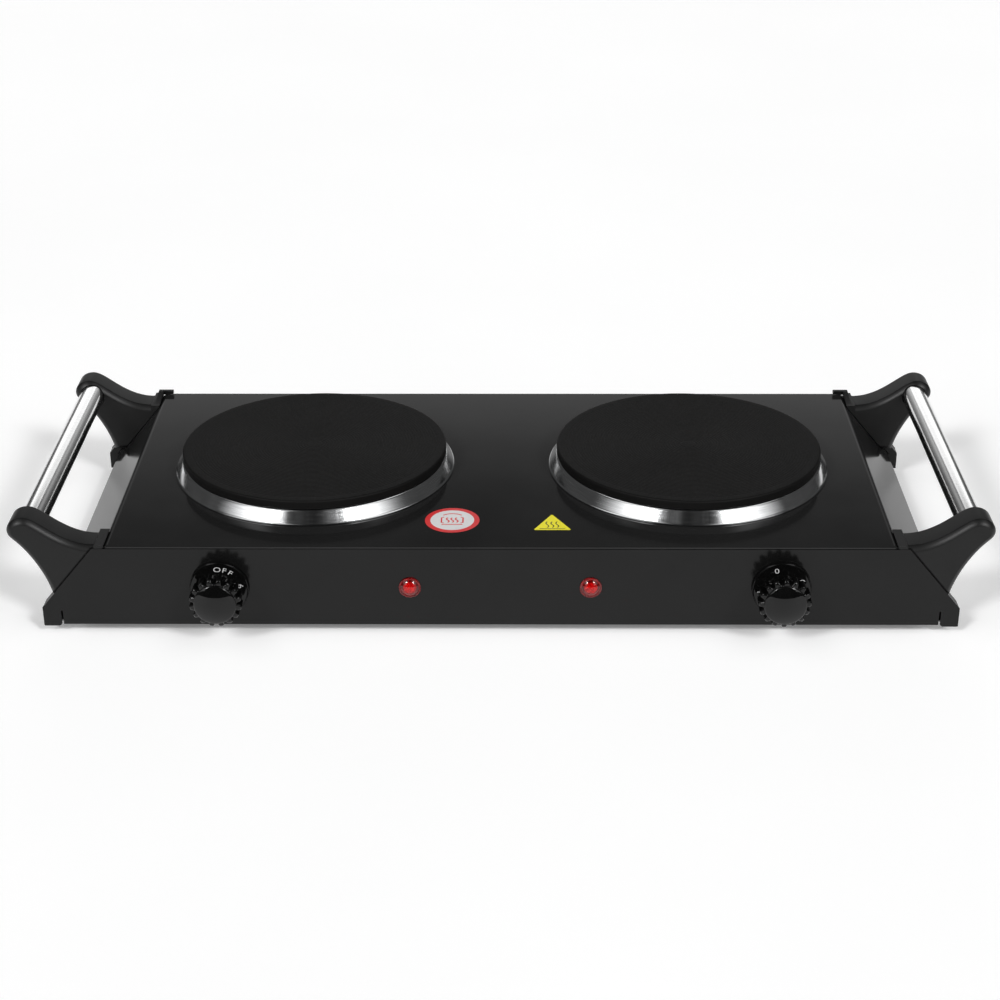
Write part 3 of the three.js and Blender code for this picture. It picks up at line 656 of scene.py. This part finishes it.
def on_cheek_screw(distance, y):
    """A point on a cheek screw's axis, which stands square on the sloped side."""
    length = math.hypot(SLOPE_RUN, SLOPE_DROP)
    x = slope_x(CHEEK_SCREW_DROP) + distance * SLOPE_DROP / length
    return x, y, -CHEEK_SCREW_DROP + distance * SLOPE_RUN / length


def top_cover():
    """The folded sheet with soft bends, and the lips of its top over both panels."""
    inner = SHEET * 1.25

    def section(offset, top, bottom, radius):
        right = [
            (slope_x(SLOPE_DROP) - offset, bottom),
            (slope_x(SLOPE_DROP) - offset, -SLOPE_DROP, radius),
            (slope_x(-top) - offset, top, radius),
        ]
        return rounded(mirrored(right))

    cover = slab("top_cover_skin", section(0, 0, -SHELL_DROP, BEND_RADIUS), SHEET + GAP, DEPTH - SHEET - GAP)
    hollow = section(inner, -SHEET, -SHELL_DROP - 1, BEND_RADIUS - inner + 0.1)
    cut(cover, slab("inside", hollow, -5, DEPTH + 5))
    edge = TOP_HALF_WIDTH - 1.2
    for y in ((0, 3), (DEPTH - 3, DEPTH)):
        join(cover, block("lip", (-edge, edge), y, (-SHEET, 0)))
    for _, side in SIDES:
        x = side * PLATE_X
        cut(cover, rod("hole", (x, PLATE_Y, -5), (x, PLATE_Y, 5), CUTOUT_RADIUS, 128))
        for y in (CHEEK_DEPTH / 2, DEPTH - CHEEK_DEPTH / 2):
            ends = [(side * a, b, c) for a, b, c in (on_cheek_screw(-4, y), on_cheek_screw(4, y))]
            cut(cover, rod("hole", *ends, SCREW_HOLE, 24))
    soften(cover, 0.3)
    place(cover, FINISHES["black_enamel"], stands_for=["top_cover"])


def panel_outline():
    edge = slope_x(SLOPE_DROP) + PANEL_PROUD
    bottom = -SHELL_DROP
    corner = edge - CORNER_WIDTH
    right = [
        (corner - 1.2, bottom),
        (corner - 1.2, bottom + CORNER_SLOT, 0.5),
        (corner, bottom + CORNER_SLOT, 0.5),
        (corner, bottom, 0.8),
        (corner + 1.5, bottom - CORNER_LIP, 1),
        (edge, bottom - CORNER_LIP, 0.8),
        (edge, -SLOPE_DROP, 0.8),
        (slope_x(PANEL_TOP) + PANEL_PROUD, -PANEL_TOP, 0.4),
    ]
    return rounded(mirrored(right), 3)


def plain_panel(name):
    panel = slab(name, panel_outline(), 0, SHEET)
    across = (-FLANGE_HALF_WIDTH, FLANGE_HALF_WIDTH)
    join(panel, block("flange", across, (SHEET / 2, FLANGE_DEPTH), (-SHELL_DROP, -SHELL_DROP + SHEET)))
    holes = ((FOOT_X, FOOT_INSET, FOOT_HOLE), (SCREW_X, SCREW_INSET, SCREW_HOLE))
    for _, side in SIDES:
        for x, y, radius in holes:
            cut(panel, rod("hole", (side * x, y, -70), (side * x, y, -50), radius))
    return panel


def front_panel():
    panel = plain_panel("front_panel_skin")
    for _, side in SIDES:
        for x, radius in ((side * KNOB_X, SHAFT_HOLE), (side * LAMP_X, LAMP_BARREL + GAP)):
            cut(panel, rod("hole", (x, -5, CONTROL_Z), (x, 5, CONTROL_Z), radius))
    soften(panel, 0.22)
    place(panel, FINISHES["black_panel"], stands_for=["front_panel"])


def rear_panel():
    """The front panel's twin, with a row of air slots with round ends and a hole for the cable."""
    panel = plain_panel("plain")
    bottom, top = VENT_SPAN
    end = VENT_HALF_WIDTH - 0.1
    for i in range(-3, 4):
        left = i * VENT_PITCH - VENT_HALF_WIDTH
        right = i * VENT_PITCH + VENT_HALF_WIDTH
        slot = [(left, bottom, end), (right, bottom, end), (right, top, end), (left, top, end)]
        cut(panel, slab("slot", rounded(slot, 6), -5, 5))
    cut(panel, rod("hole", (GLAND_X, -5, GLAND_Z), (GLAND_X, 5, GLAND_Z), GLAND_RADIUS + GAP))
    rear = mirror_copy(panel, "rear_panel_skin", across_y=True)
    bpy.data.objects.remove(panel)
    soften(rear, 0.22)
    place(rear, FINISHES["black_panel"], stands_for=["rear_panel"])


# ------------------------------------------------------------- cheeks and handles


def cheek_outline():
    """The cheek seen from the front, from the seam with the panel round the lobe and back."""
    seam = slope_x(0) + PANEL_PROUD
    points = [(seam - 30, 0), (seam, 0)]
    curves = (
        ((seam + 23, 0), (LOBE_X - 10, LOBE_Z), (LOBE_X, LOBE_Z), 26),
        ((LOBE_X + 6.5, LOBE_Z), (LOBE_REACH, LOBE_Z - 4.4), (LOBE_REACH, 10), 14),
        ((LOBE_REACH, 6.4), (LOBE_REACH - 2, 5), (LOBE_REACH - 4, 3), 8),
        ((LOBE_X - 3, -6.5), (seam + 33.7, -22), (seam + 30.2, -36.1), 26),
    )
    for pull_a, pull_b, end, steps in curves:
        points += bezier(points[-1], pull_a, pull_b, end, steps)
    points.append((seam - 30, -36.1))
    return points[::-1]


def cheek_solid(name):
    def edge(drop):
        return slope_x(drop) + PANEL_PROUD - GAP

    wing = soft_slab(name, cheek_outline(), 0, CHEEK_DEPTH, CHEEK_ROUND)
    foot = [
        (slope_x(0) - 5, -2),
        (edge(2), -2),
        (edge(SLOPE_DROP), -SLOPE_DROP),
        (edge(SLOPE_DROP), -SHELL_DROP),
        (slope_x(SLOPE_DROP) - 5, -SHELL_DROP),
    ]
    join(wing, slab("leg", foot, SHEET + GAP, CHEEK_FOOT_DEPTH))
    strip = rounded([(TOP_HALF_WIDTH, -8), (edge(0), -8), (edge(0), 0.8, 0.5), (TOP_HALF_WIDTH, 0.8)], 4)
    return join(wing, slab("strip", strip, 0, CHEEK_DEPTH))


def trim_cheek(cheek):
    """Takes out of a cheek the space of the body, the panel, the tube and the screw."""
    clear = 1.3 * GAP
    proud = PANEL_PROUD + 4 * clear
    shell = [
        (0, 30),
        (slope_x(0) + clear, 30),
        (slope_x(0) + clear, 0),
        (slope_x(SLOPE_DROP) + clear, -SLOPE_DROP),
        (slope_x(SLOPE_DROP) + clear, -80),
        (0, -80),
    ]
    panel = [
        (0, -PANEL_TOP + GAP),
        (slope_x(PANEL_TOP - GAP) + proud, -PANEL_TOP + GAP),
        (slope_x(SLOPE_DROP) + proud, -SLOPE_DROP),
        (slope_x(SLOPE_DROP) + proud, -80),
        (0, -80),
    ]
    middle = CHEEK_DEPTH / 2
    socket = CHEEK_DEPTH - SOCKET_DEPTH
    return cut(
        cheek,
        slab("shell", shell, -10, CHEEK_DEPTH + 10),
        slab("panel", panel, -10, SHEET + SEAM_DEPTH),
        rod("tube", (TUBE_X, socket, TUBE_Z), (TUBE_X, CHEEK_DEPTH + 5, TUBE_Z), TUBE_RADIUS + GAP, 64),
        rod("screw", on_cheek_screw(-2, middle), on_cheek_screw(10.5, middle), 1.8, 24),
    )


HOOK_X = (TOP_HALF_WIDTH + 0.5, TOP_HALF_WIDTH + 4)
HOOK_TOP = 3.4


def hook_post():
    """The post that rises to the hook, drawn along the depth and stood across the width."""
    side = [(0, -3), (22, -3), (22, 0.5), (4, HOOK_TOP), (0, HOOK_TOP)]
    rings = [[(x, y, z) for y, z in side] for x in HOOK_X]
    return lofted("post", rings)


def hook_lip():
    tip = TOP_HALF_WIDTH - 7
    wedge = [
        (tip, 1),
        (TOP_HALF_WIDTH - 1, GAP + 0.1),
        (HOOK_X[1], GAP + 0.1),
        (HOOK_X[1], HOOK_TOP),
        (tip, HOOK_TOP),
    ]
    return slab("lip", wedge, 0, 3)


def cheeks():
    front = trim_cheek(cheek_solid("front"))
    rear = trim_cheek(join(cheek_solid("rear"), hook_post()))
    join(rear, hook_lip())
    for end, source in (("front", front), ("rear", rear)):
        for name, side in SIDES:
            node = f"handle_cheek_{end}_{name}"
            piece = mirror_copy(source, node + "_shape", side < 0, end == "rear")
            soften(piece)
            place(piece, FINISHES["black_plastic"], stands_for=[node])
    bpy.data.objects.remove(front)
    bpy.data.objects.remove(rear)


def handle_tubes():
    start = CHEEK_DEPTH - SOCKET_DEPTH + GAP
    end = DEPTH - start
    bore = TUBE_RADIUS - TUBE_WALL
    soft = 0.4
    profile = [
        (bore, start),
        (TUBE_RADIUS - soft, start),
        (TUBE_RADIUS, start + soft),
        (TUBE_RADIUS, end - soft),
        (TUBE_RADIUS - soft, end),
        (bore, end),
        (bore, start),
    ]
    for name, side in SIDES:
        node = f"handle_tube_{name}"
        tube = turned(node + "_shape", profile, (side * TUBE_X, 0, TUBE_Z), standing)
        soften(tube)
        place(tube, FINISHES["chromed_tube"], stands_for=[node])


# ------------------------------------------------------------- burners


def plate_profile():
    """From the hidden underside over the rounded rim to the grooved face."""
    rim = PLATE_TOP - PLATE_EDGE
    wall = PLATE_WALL_RADIUS
    profile = [
        (0, 9.5),
        (3.3, 9.5),
        (3.3, 3.2),
        (11, 3.2),
        (11, 8),
        (wall - 3.2, 8),
        (wall - 3.2, 1.5),
        (wall, 1.5),
        (wall, rim),
        (PLATE_RADIUS - 0.5, rim),
        (PLATE_RADIUS, rim + 0.5),
    ]
    edge = 1.3
    for k in range(7):
        angle = math.pi / 2 * k / 6
        x = PLATE_RADIUS - edge * (1 - math.cos(angle))
        profile.append((x, PLATE_TOP - edge * (1 - math.sin(angle))))
    profile.append((PLATE_RADIUS - 3.2, PLATE_TOP))
    profile.append((GROOVE_LAST + 0.9, PLATE_TOP - 0.02))
    radius = GROOVE_LAST
    while radius > GROOVE_FIRST:
        for share, depth in ((0, 0), (0.32, 0.04), (0.5, 1), (0.68, 0.04)):
            profile.append((radius - share * GROOVE_PITCH, PLATE_TOP - 0.02 - depth * GROOVE_DEPTH))
        radius -= GROOVE_PITCH
    profile.append((radius, PLATE_TOP - 0.02))
    profile.append((0, PLATE_TOP - 0.02))
    return profile


def ring_profile():
    """A pressed steel skirt: a narrow shelf, a long flank and a flared foot."""
    shelf = PLATE_TOP - PLATE_EDGE - GAP
    inner = PLATE_WALL_RADIUS + GAP
    outer = RING_RADIUS
    return [
        (inner, shelf),
        (91.4, shelf),
        (92.1, shelf - 0.2),
        (92.7, shelf - 0.7),
        (93.3, shelf - 1.5),
        (96.6, 2.6),
        (96.95, 1.9),
        (97.35, 1.35),
        (outer, 0.95),
        (outer, GAP),
        (outer - 1.3, GAP),
        (96, 1.8),
        (92.4, shelf - 1.7),
        (91.6, shelf - 0.9),
        (inner, shelf - 0.9),
        (inner, shelf),
    ]


def burners():
    for name, side in SIDES:
        centre = (side * PLATE_X, PLATE_Y, 0)
        plate = turned(f"hot_plate_{name}_shape", plate_profile(), centre, sides=160)
        soften(plate, sharp=40)
        place(plate, FINISHES["cast_iron"], stands_for=[f"hot_plate_{name}"])
        ring = turned(f"spill_ring_{name}_shape", ring_profile(), centre, sides=224)
        soften(ring, sharp=40)
        steel = FINISHES[f"polished_steel_{name}"]
        place(ring, steel, stands_for=[f"spill_ring_{name}"])


# ------------------------------------------------------------- controls

# (height, mean radius, lobe height) of each ring of the knob, from its bore to its tip.
KNOB_RINGS = [
    (-21, 3.3, 0),
    (-1.2, 3.3, 0),
    (-1.2, 19, 0),
    (-1.4, 19.35, 0),
    (-1.8, DIAL_RADIUS, 0),
    (-2.6, DIAL_RADIUS, 0),
    (-3.0, 19.3, 0),
    (DIAL_FACE - 0.15, 19.0, 0),
    (DIAL_FACE - 0.1, 18.6, 0),
    (DIAL_FACE, 18.3, 0),
    (DIAL_FACE, 11, 0),
    (-4, 10.4, 0),
    (-10, 10.6, 0),
    (-12, 11.6, 0.3),
    (-12.8, 13.6, 0.8),
    (-13.2, 15, 1.3),
    (-14, 15.7, 1.6),
    (-21.2, 15.8, 1.6),
    (-22.2, 15.7, 1.55),
    (-22.9, 15.3, 1.35),
    (-23.3, 14.7, 0.9),
    (-23.5, 14, 0.3),
    (-23.6, CAP_RADIUS, 0),
    (-24.5, CAP_RADIUS, 0),
    (-24.8, CAP_RADIUS - 0.1, 0),
    (-25.05, CAP_RADIUS - 0.4, 0),
]


def knob_rings(centre, turn):
    """Rings round the knob's axis. Each lobe is a swell of the radius."""
    sides = 12 * GRIP_LOBES
    heights = list(KNOB_RINGS)
    for k in range(15, 0, -1):
        share = k / 16
        heights.append((-KNOB_REACH + CAP_DOME * share ** 2, CAP_RADIUS * share, 0))
    rings = [standing([(0, 0)], centre, KNOB_RINGS[0][0])]
    for height, mean, lobe in heights:
        flat = []
        for i in range(sides):
            angle = 2 * math.pi * i / sides
            swell = math.tanh(2.2 * math.cos(GRIP_LOBES * (angle - turn)) + 0.45)
            radius = mean + lobe * swell
            flat.append((radius * math.cos(angle), radius * math.sin(angle)))
        rings.append(standing(flat, centre, height))
    rings.append(standing([(0, 0)], centre, -KNOB_REACH))
    return rings


def dial_mark(name, text, angle, centre, body):
    """Raised lettering on a dial's face, angle degrees clockwise from the top."""
    curve = bpy.data.curves.new(name, "FONT")
    curve.body = text
    curve.size = MARK_HEIGHT * MM
    curve.extrude = 0.06 * MM
    curve.offset = -0.03 * MM
    curve.align_x = "CENTER"
    curve.align_y = "CENTER"
    curve.resolution_u = 6
    text_object = bpy.data.objects.new(name + "_curve", curve)
    bpy.context.scene.collection.objects.link(text_object)
    bpy.context.view_layer.update()
    mesh = bpy.data.meshes.new_from_object(
        text_object.evaluated_get(bpy.context.evaluated_depsgraph_get())
    )
    bpy.data.objects.remove(text_object)
    up = Matrix.Translation((0, 0, MARK_RADIUS * MM))
    stand = Matrix.Rotation(math.pi / 2, 4, "X") @ Matrix.Diagonal((MARK_STRETCH, 1, 1, 1))
    spin = Matrix.Rotation(math.radians(angle), 4, "Y")
    spot = Matrix.Translation(on_frame((centre[0], DIAL_FACE, centre[2])))
    mesh.transform(spot @ spin @ up @ stand)
    mark = bpy.data.objects.new(name, mesh)
    bpy.context.scene.collection.objects.link(mark)
    place(mark, FINISHES["print_white"], body)


def knobs():
    lettering = {
        "left": [("O", -2), ("F", 17), ("F", 34)],
        "right": [("0", -16)],
    }
    for name, side in SIDES:
        body = f"dial_{name}"
        centre = (side * KNOB_X, 0, CONTROL_Z)
        bottom = -math.pi / 2
        turn = bottom + (math.pi / GRIP_LOBES if side < 0 else 0)
        knob = lofted(f"knob_{name}_shape", knob_rings(centre, turn))
        soften(knob, sharp=50)
        place(knob, FINISHES["knob_plastic"], body, [f"knob_{name}"])
        zero = 0.5 if side < 0 else -16
        marks = list(lettering[name])
        marks += [(str(number), zero - 80 - 40 * (number - 1)) for number in range(1, 7)]
        for i, (text, angle) in enumerate(marks):
            dial_mark(f"dial_mark_{name}_{i}", text, angle, centre, body)


def lamp_lens(name, side):
    """A domed lens with a flange on the panel and a hollow barrel through it."""
    bore = LAMP_BARREL - 1.2
    ball = 8.2
    dome = [(r, ball - 4 - math.sqrt(ball ** 2 - r ** 2)) for r in (0, 1.2, 2.4, 3.6, 4.6, 5.4, 6, 6.3)]
    profile = [
        *dome,
        (LENS_RADIUS - 0.5, -1.1),
        (LENS_RADIUS - 0.2, -1.05),
        (LENS_RADIUS, -0.9),
        (LENS_RADIUS, -GAP),
        (LAMP_BARREL, -GAP),
        (LAMP_BARREL, 9),
        (bore, 9),
        (bore, -1.5),
        (bore - 0.8, -2),
        (0, -2.2),
    ]
    lens = turned(f"lamp_lens_{name}_shape", profile, (side * LAMP_X, 0, CONTROL_Z), standing, 64)
    soften(lens)
    place(lens, FINISHES["red_lens"], stands_for=[f"lamp_lens_{name}"])


def lamp_core(name, side):
    """The lamp behind the lens. Its front is cut into small uneven prisms."""
    chance = random.Random(7 + side)
    bulb = LAMP_BARREL - 1.2 - GAP
    centre = (side * LAMP_X, 0, CONTROL_Z)
    sides = 14
    tip = (centre[0] + 0.3, centre[1] - 1.5, centre[2] - 0.2)
    rings = [[tip]]
    for row, share in enumerate((0.3, 0.55, 0.78, 1)):
        ring = []
        for i in range(sides):
            angle = 2 * math.pi * (i + 0.5 * (row % 2)) / sides
            radius = bulb * share
            height = -0.8 + 1.2 * share ** 2 + (chance.uniform(-0.9, 0.9) if share < 1 else 0.4)
            ring.append((
                centre[0] + radius * math.cos(angle),
                centre[1] + height,
                centre[2] + radius * math.sin(angle),
            ))
        rings.append(ring)
    for radius, height in ((bulb, 9 + GAP), (LAMP_BARREL + 1, 9 + GAP), (LAMP_BARREL + 1, 18)):
        rings.append(standing(circle(radius, sides), centre, height))
    core = lofted(f"lamp_body_{name}_shape", rings)
    place(core, FINISHES["lamp_core"], stands_for=[f"lamp_body_{name}"])


def lamps():
    for name, side in SIDES:
        lamp_lens(name, side)
        lamp_core(name, side)


# ------------------------------------------------------------- labels


def stroke(points, width):
    """The outline of a line of even width with square ends."""
    left, right = [], []
    for i, point in enumerate(points):
        before = Vector(points[max(i - 1, 0)])
        after = Vector(points[min(i + 1, len(points) - 1)])
        along = (after - before).normalized()
        across = Vector((-along.y, along.x)) * width / 2
        left.append(tuple(Vector(point) + across))
        right.append(tuple(Vector(point) - across))
    return left + right[::-1]


def wave(x, low, high, swing, steps=12):
    """An upright wavy line, the usual sign for heat."""
    made = []
    for k in range(steps + 1):
        share = k / steps
        made.append((x + swing * math.sin(2 * math.pi * share), low + (high - low) * share))
    return made


LABEL_AT = (-32.3, 39.5)
LABEL_RADIUS = 18.25
LABEL_INNER = 14.65
SIGN_AT = (34.5, 33)
LABEL_THICK = 0.12
INK = 0.03


def label_piece(name, outline, centre, material, low, high):
    """A thin sheet lying on the top face, from low to high above it."""
    piece = lofted(name, [lying(outline, (*centre, 0), z) for z in (low, high)])
    place(piece, FINISHES[material])


def round_label():
    """A white disc with a red border and a plain red drawing of rising heat."""
    label_piece("round_label", circle(LABEL_RADIUS, 72), LABEL_AT, "vinyl_red", 0.02, LABEL_THICK)
    top = LABEL_THICK
    label_piece("round_label_face", circle(LABEL_INNER, 72), LABEL_AT, "vinyl_white", top, top + INK)
    low, high = top + INK, top + 2 * INK
    strokes = [wave(x, -3.5, 3.5, 0.9) for x in (-3, 0, 3)]
    for side in (-1, 1):
        strokes.append([(side * 5.6, 4.2), (side * 7.2, 3.6), (side * 7.2, -3.6), (side * 5.6, -4.4)])
    strokes.append([(-7, -6.4), (7, -6.4)])
    arc = [math.radians(50 + 8 * k) for k in range(11)]
    strokes.append([(9.6 * math.cos(a), 9.6 * math.sin(a)) for a in arc])
    for i, line in enumerate(strokes):
        label_piece(f"round_label_ink_{i}", stroke(line, 1.0), LABEL_AT, "vinyl_red", low, high)


def heat_sign():
    """A yellow triangle with three black heat waves."""
    corners = [(-12.6, -7.8, 0.8), (12.6, -7.8, 0.8), (0, 15.4, 0.8)]
    label_piece("heat_sign", rounded(corners), SIGN_AT, "vinyl_yellow", 0.02, LABEL_THICK)
    low, high = LABEL_THICK, LABEL_THICK + INK
    strokes = [wave(x, -4.4, 4.2, 0.9) for x in (-3.3, 0, 3.3)]
    strokes.append([(-8.5, -6), (8.5, -6)])
    for i, line in enumerate(strokes):
        label_piece(f"heat_sign_ink_{i}", stroke(line, 0.7), SIGN_AT, "vinyl_black", low, high)


# ------------------------------------------------------------- small pieces


def feet():
    """Ribbed rubber feet pushed through the flange and the base plate."""
    top = -SHELL_DROP - GAP
    above = -SHELL_DROP + 2 * SHEET + 2 * GAP
    profile = [
        (0, -FOOT_DROP + 0.6),
        (2, -FOOT_DROP + 0.6),
        (2.6, -FOOT_DROP),
        (FOOT_RADIUS - 1.6, -FOOT_DROP),
        (FOOT_RADIUS - 0.5, -FOOT_DROP + 0.5),
        (FOOT_RADIUS, -FOOT_DROP + 1.6),
        (FOOT_RADIUS, top - 1.6),
        (FOOT_RADIUS - 0.5, top - 1.3),
        (FOOT_RADIUS - 0.5, top - 0.7),
        (FOOT_RADIUS, top - 0.4),
        (FOOT_RADIUS, top),
        (FOOT_NECK, top),
        (FOOT_NECK, above),
        (4.6, above),
        (2.4, above + 3.5),
        (0, above + 3.5),
    ]
    for end, y in (("front", FOOT_INSET), ("rear", DEPTH - FOOT_INSET)):
        for name, side in SIDES:
            node = f"rubber_foot_{end}_{name}"
            foot = turned(node + "_shape", profile, (side * FOOT_X, y, 0), sides=64)
            soften(foot)
            place(foot, FINISHES["rubber"], stands_for=[node])


def base_screws():
    """Pan-head screws with a cross recess."""
    seat = -SHELL_DROP - GAP
    profile = [
        (0, seat - 2.2),
        (1.6, seat - 2.15),
        (2.7, seat - 1.8),
        (3.4, seat - 1.1),
        (3.6, seat - 0.4),
        (3.6, seat),
        (1.6, seat),
        (1.6, -50),
        (0, -49),
    ]
    for end, y in (("front", SCREW_INSET), ("rear", DEPTH - SCREW_INSET)):
        for name, side in SIDES:
            node = f"base_screw_{end}_{name}"
            x = side * SCREW_X
            screw = turned(node + "_shape", profile, (x, y, 0), sides=40)
            deep = (seat - 3, seat - 0.9)
            cut(
                screw,
                block("slot", (x - 1.9, x + 1.9), (y - 0.4, y + 0.4), deep),
                block("slot", (x - 0.4, x + 0.4), (y - 1.9, y + 1.9), deep),
            )
            soften(screw)
            place(screw, FINISHES["zinc_steel"], stands_for=[node])


def cable_gland():
    """A plastic gland with a ribbed collar, open for the cable."""
    y = DEPTH
    bore = 4.2
    nut = 9.5
    profile = [(bore, y - 9), (nut, y - 9), (nut, y - SHEET - GAP)]
    profile += [(GLAND_RADIUS, y - SHEET - GAP), (GLAND_RADIUS, y + GAP)]
    profile += [(8.8, y + GAP), (9, y + GAP + 0.3), (9, y + 2.2), (8.4, y + 2.8)]
    for k in range(3):
        start = y + 3.4 + 2.2 * k
        radius = 8 - 0.7 * k
        profile += [(radius - 0.7, start), (radius, start + 0.4)]
        profile += [(radius, start + 1.4), (radius - 0.7, start + 1.8)]
    tip = y + GLAND_REACH
    profile += [(5.8, tip - 0.2), (5.6, tip), (bore, tip), (bore, y - 9)]
    gland = turned("cable_gland_shape", profile, (GLAND_X, 0, GLAND_Z), standing, 64)
    soften(gland)
    place(gland, FINISHES["black_plastic"], stands_for=["cable_gland"])


def finish_cad_nodes():
    """Gives every CAD node that stays a procedural material for its record slot."""
    slots = {row["node"]: row["material_slot"] for row in frame["record"]["subparts"]}
    for node, shown in frame["nodes"].items():
        if not shown.hide_render:
            shown.data.materials.clear()
            shown.data.materials.append(FINISHES[slots[node]])


# ------------------------------------------------------------- studio

CEILING_LIGHT = 1.3
BOX_LIGHT = 2.2
LAMP_LIGHT = 40.0
BACK_LIGHT = 1.05
TUBE_LIGHT = 0.84
TUBE_LIGHT_SIZE = (0.66, 0.37)
TUBE_LIGHT_AT = (0.44, 1, 0.505)
ROOM_LIGHT = 0.06
FRONT_LIGHT = 0.015


def add_floor():
    """A wide pale floor, far larger than the view."""
    reach = 6000
    square = [(-reach, -reach), (reach, -reach), (reach, reach), (-reach, reach)]
    levels = (-FOOT_DROP - 8, -FOOT_DROP)
    floor = lofted("studio_floor", [lying(square, (0, 0, 0), level) for level in levels])
    material = grained("floor", grey(0.94), grey(0.96), (0.55, 0.65), 300.0, (0.02, 0.02), wander=2.0,
                       Specular_IOR_Level=0.2, Emission_Color=grey(1.0), Emission_Strength=0.16)
    floor.data.materials.append(material)


def add_world():
    """A soft studio drawn on the sky: lit ceiling panels, soft boxes in front, a low glow behind."""
    world = bpy.data.worlds.new("studio")
    bpy.context.scene.world = world
    world.use_nodes = True
    graph = Graph(world.node_tree)
    direction = graph.node("ShaderNodeTexCoord").outputs["Generated"]
    split = graph.node("ShaderNodeSeparateXYZ")
    graph.feed(split.inputs[0], direction)
    x, y, z = split.outputs
    height = graph.math("DEGREES", graph.math("ARCSINE", z))
    bearing = graph.math("ARCTAN2", x, graph.math("MULTIPLY", y, -1.0))
    bearing = graph.math("ABSOLUTE", graph.math("DEGREES", bearing))

    def band(value, rise, fall):
        return graph.math("MULTIPLY", graph.step(value, *rise), graph.step(value, *fall, 1.0, 0.0))

    ceiling = graph.math("MULTIPLY", band(bearing, (20, 50), (105, 130)), band(height, (46, 54), (62, 74)))
    box = graph.math("MULTIPLY", band(bearing, (31, 34), (42, 85)), band(height, (12, 16), (44, 49)))
    lamp = graph.math("MULTIPLY", band(bearing, (32, 34), (44, 46)), band(height, (31, 33), (42, 44)))
    back = graph.math("MULTIPLY", graph.step(bearing, 150, 172), band(height, (-4, 0), (17, 27)))
    room = graph.step(bearing, 26.0, 60.0, FRONT_LIGHT, ROOM_LIGHT)
    light = graph.math("MULTIPLY_ADD", ceiling, CEILING_LIGHT, room)
    for share, strength in ((box, BOX_LIGHT), (lamp, LAMP_LIGHT), (back, BACK_LIGHT)):
        light = graph.math("MULTIPLY_ADD", share, strength, light)
    background = world.node_tree.nodes["Background"]
    graph.feed(background.inputs["Color"], grey(1.0))
    graph.feed(background.inputs["Strength"], light)


def add_tube_lights():
    """A soft light behind each handle, for its tube alone, that draws the bright band on it."""
    for name, side in SIDES:
        lit = bpy.data.collections.new(f"lit_by_tube_light_{name}")
        lit.objects.link(bpy.data.objects[f"handle_tube_{name}_shape"])
        lamp = bpy.data.lights.new(f"tube_light_{name}", "AREA")
        lamp.shape = "RECTANGLE"
        lamp.size, lamp.size_y = TUBE_LIGHT_SIZE
        lamp.energy = TUBE_LIGHT
        stand = bpy.data.objects.new(f"tube_light_{name}", lamp)
        stand.visible_camera = False
        stand.light_linking.receiver_collection = lit
        x, y, z = TUBE_LIGHT_AT
        face_front = Matrix.Rotation(-math.pi / 2, 4, "X")
        stand.matrix_world = Matrix.Translation((side * x, y, z)) @ face_front
        bpy.context.scene.collection.objects.link(stand)


def add_camera():
    """Stands in front of the hot plate, level with its middle, and looks 26 degrees down."""
    camera = bpy.data.cameras.new("camera")
    camera.sensor_width = 36
    camera.lens = 72.97
    camera.shift_y = -0.00825
    camera.clip_start = 0.05
    camera.clip_end = 50
    stand = bpy.data.objects.new("camera", camera)
    bpy.context.scene.collection.objects.link(stand)
    down, swing, roll = (math.radians(a) for a in (25.764, -0.546, -0.193))
    forward = Vector((
        math.sin(swing) * math.cos(down),
        math.cos(swing) * math.cos(down),
        -math.sin(down),
    ))
    level = Vector((math.cos(swing), -math.sin(swing), 0))
    upright = level.cross(forward)
    right = level * math.cos(roll) + upright * math.sin(roll)
    up = upright * math.cos(roll) - level * math.sin(roll)
    turn = Matrix((right, up, -forward)).transposed().to_4x4()
    stand.matrix_world = Matrix.Translation((0.01126, -1.29229, 0.67096)) @ turn
    bpy.context.scene.camera = stand


bpy.context.scene.view_settings.view_transform = "Standard"
top_cover()
front_panel()
rear_panel()
cheeks()
handle_tubes()
burners()
knobs()
lamps()
round_label()
heat_sign()
feet()
base_screws()
cable_gland()
finish_cad_nodes()
add_floor()
add_world()
add_tube_lights()
add_camera()
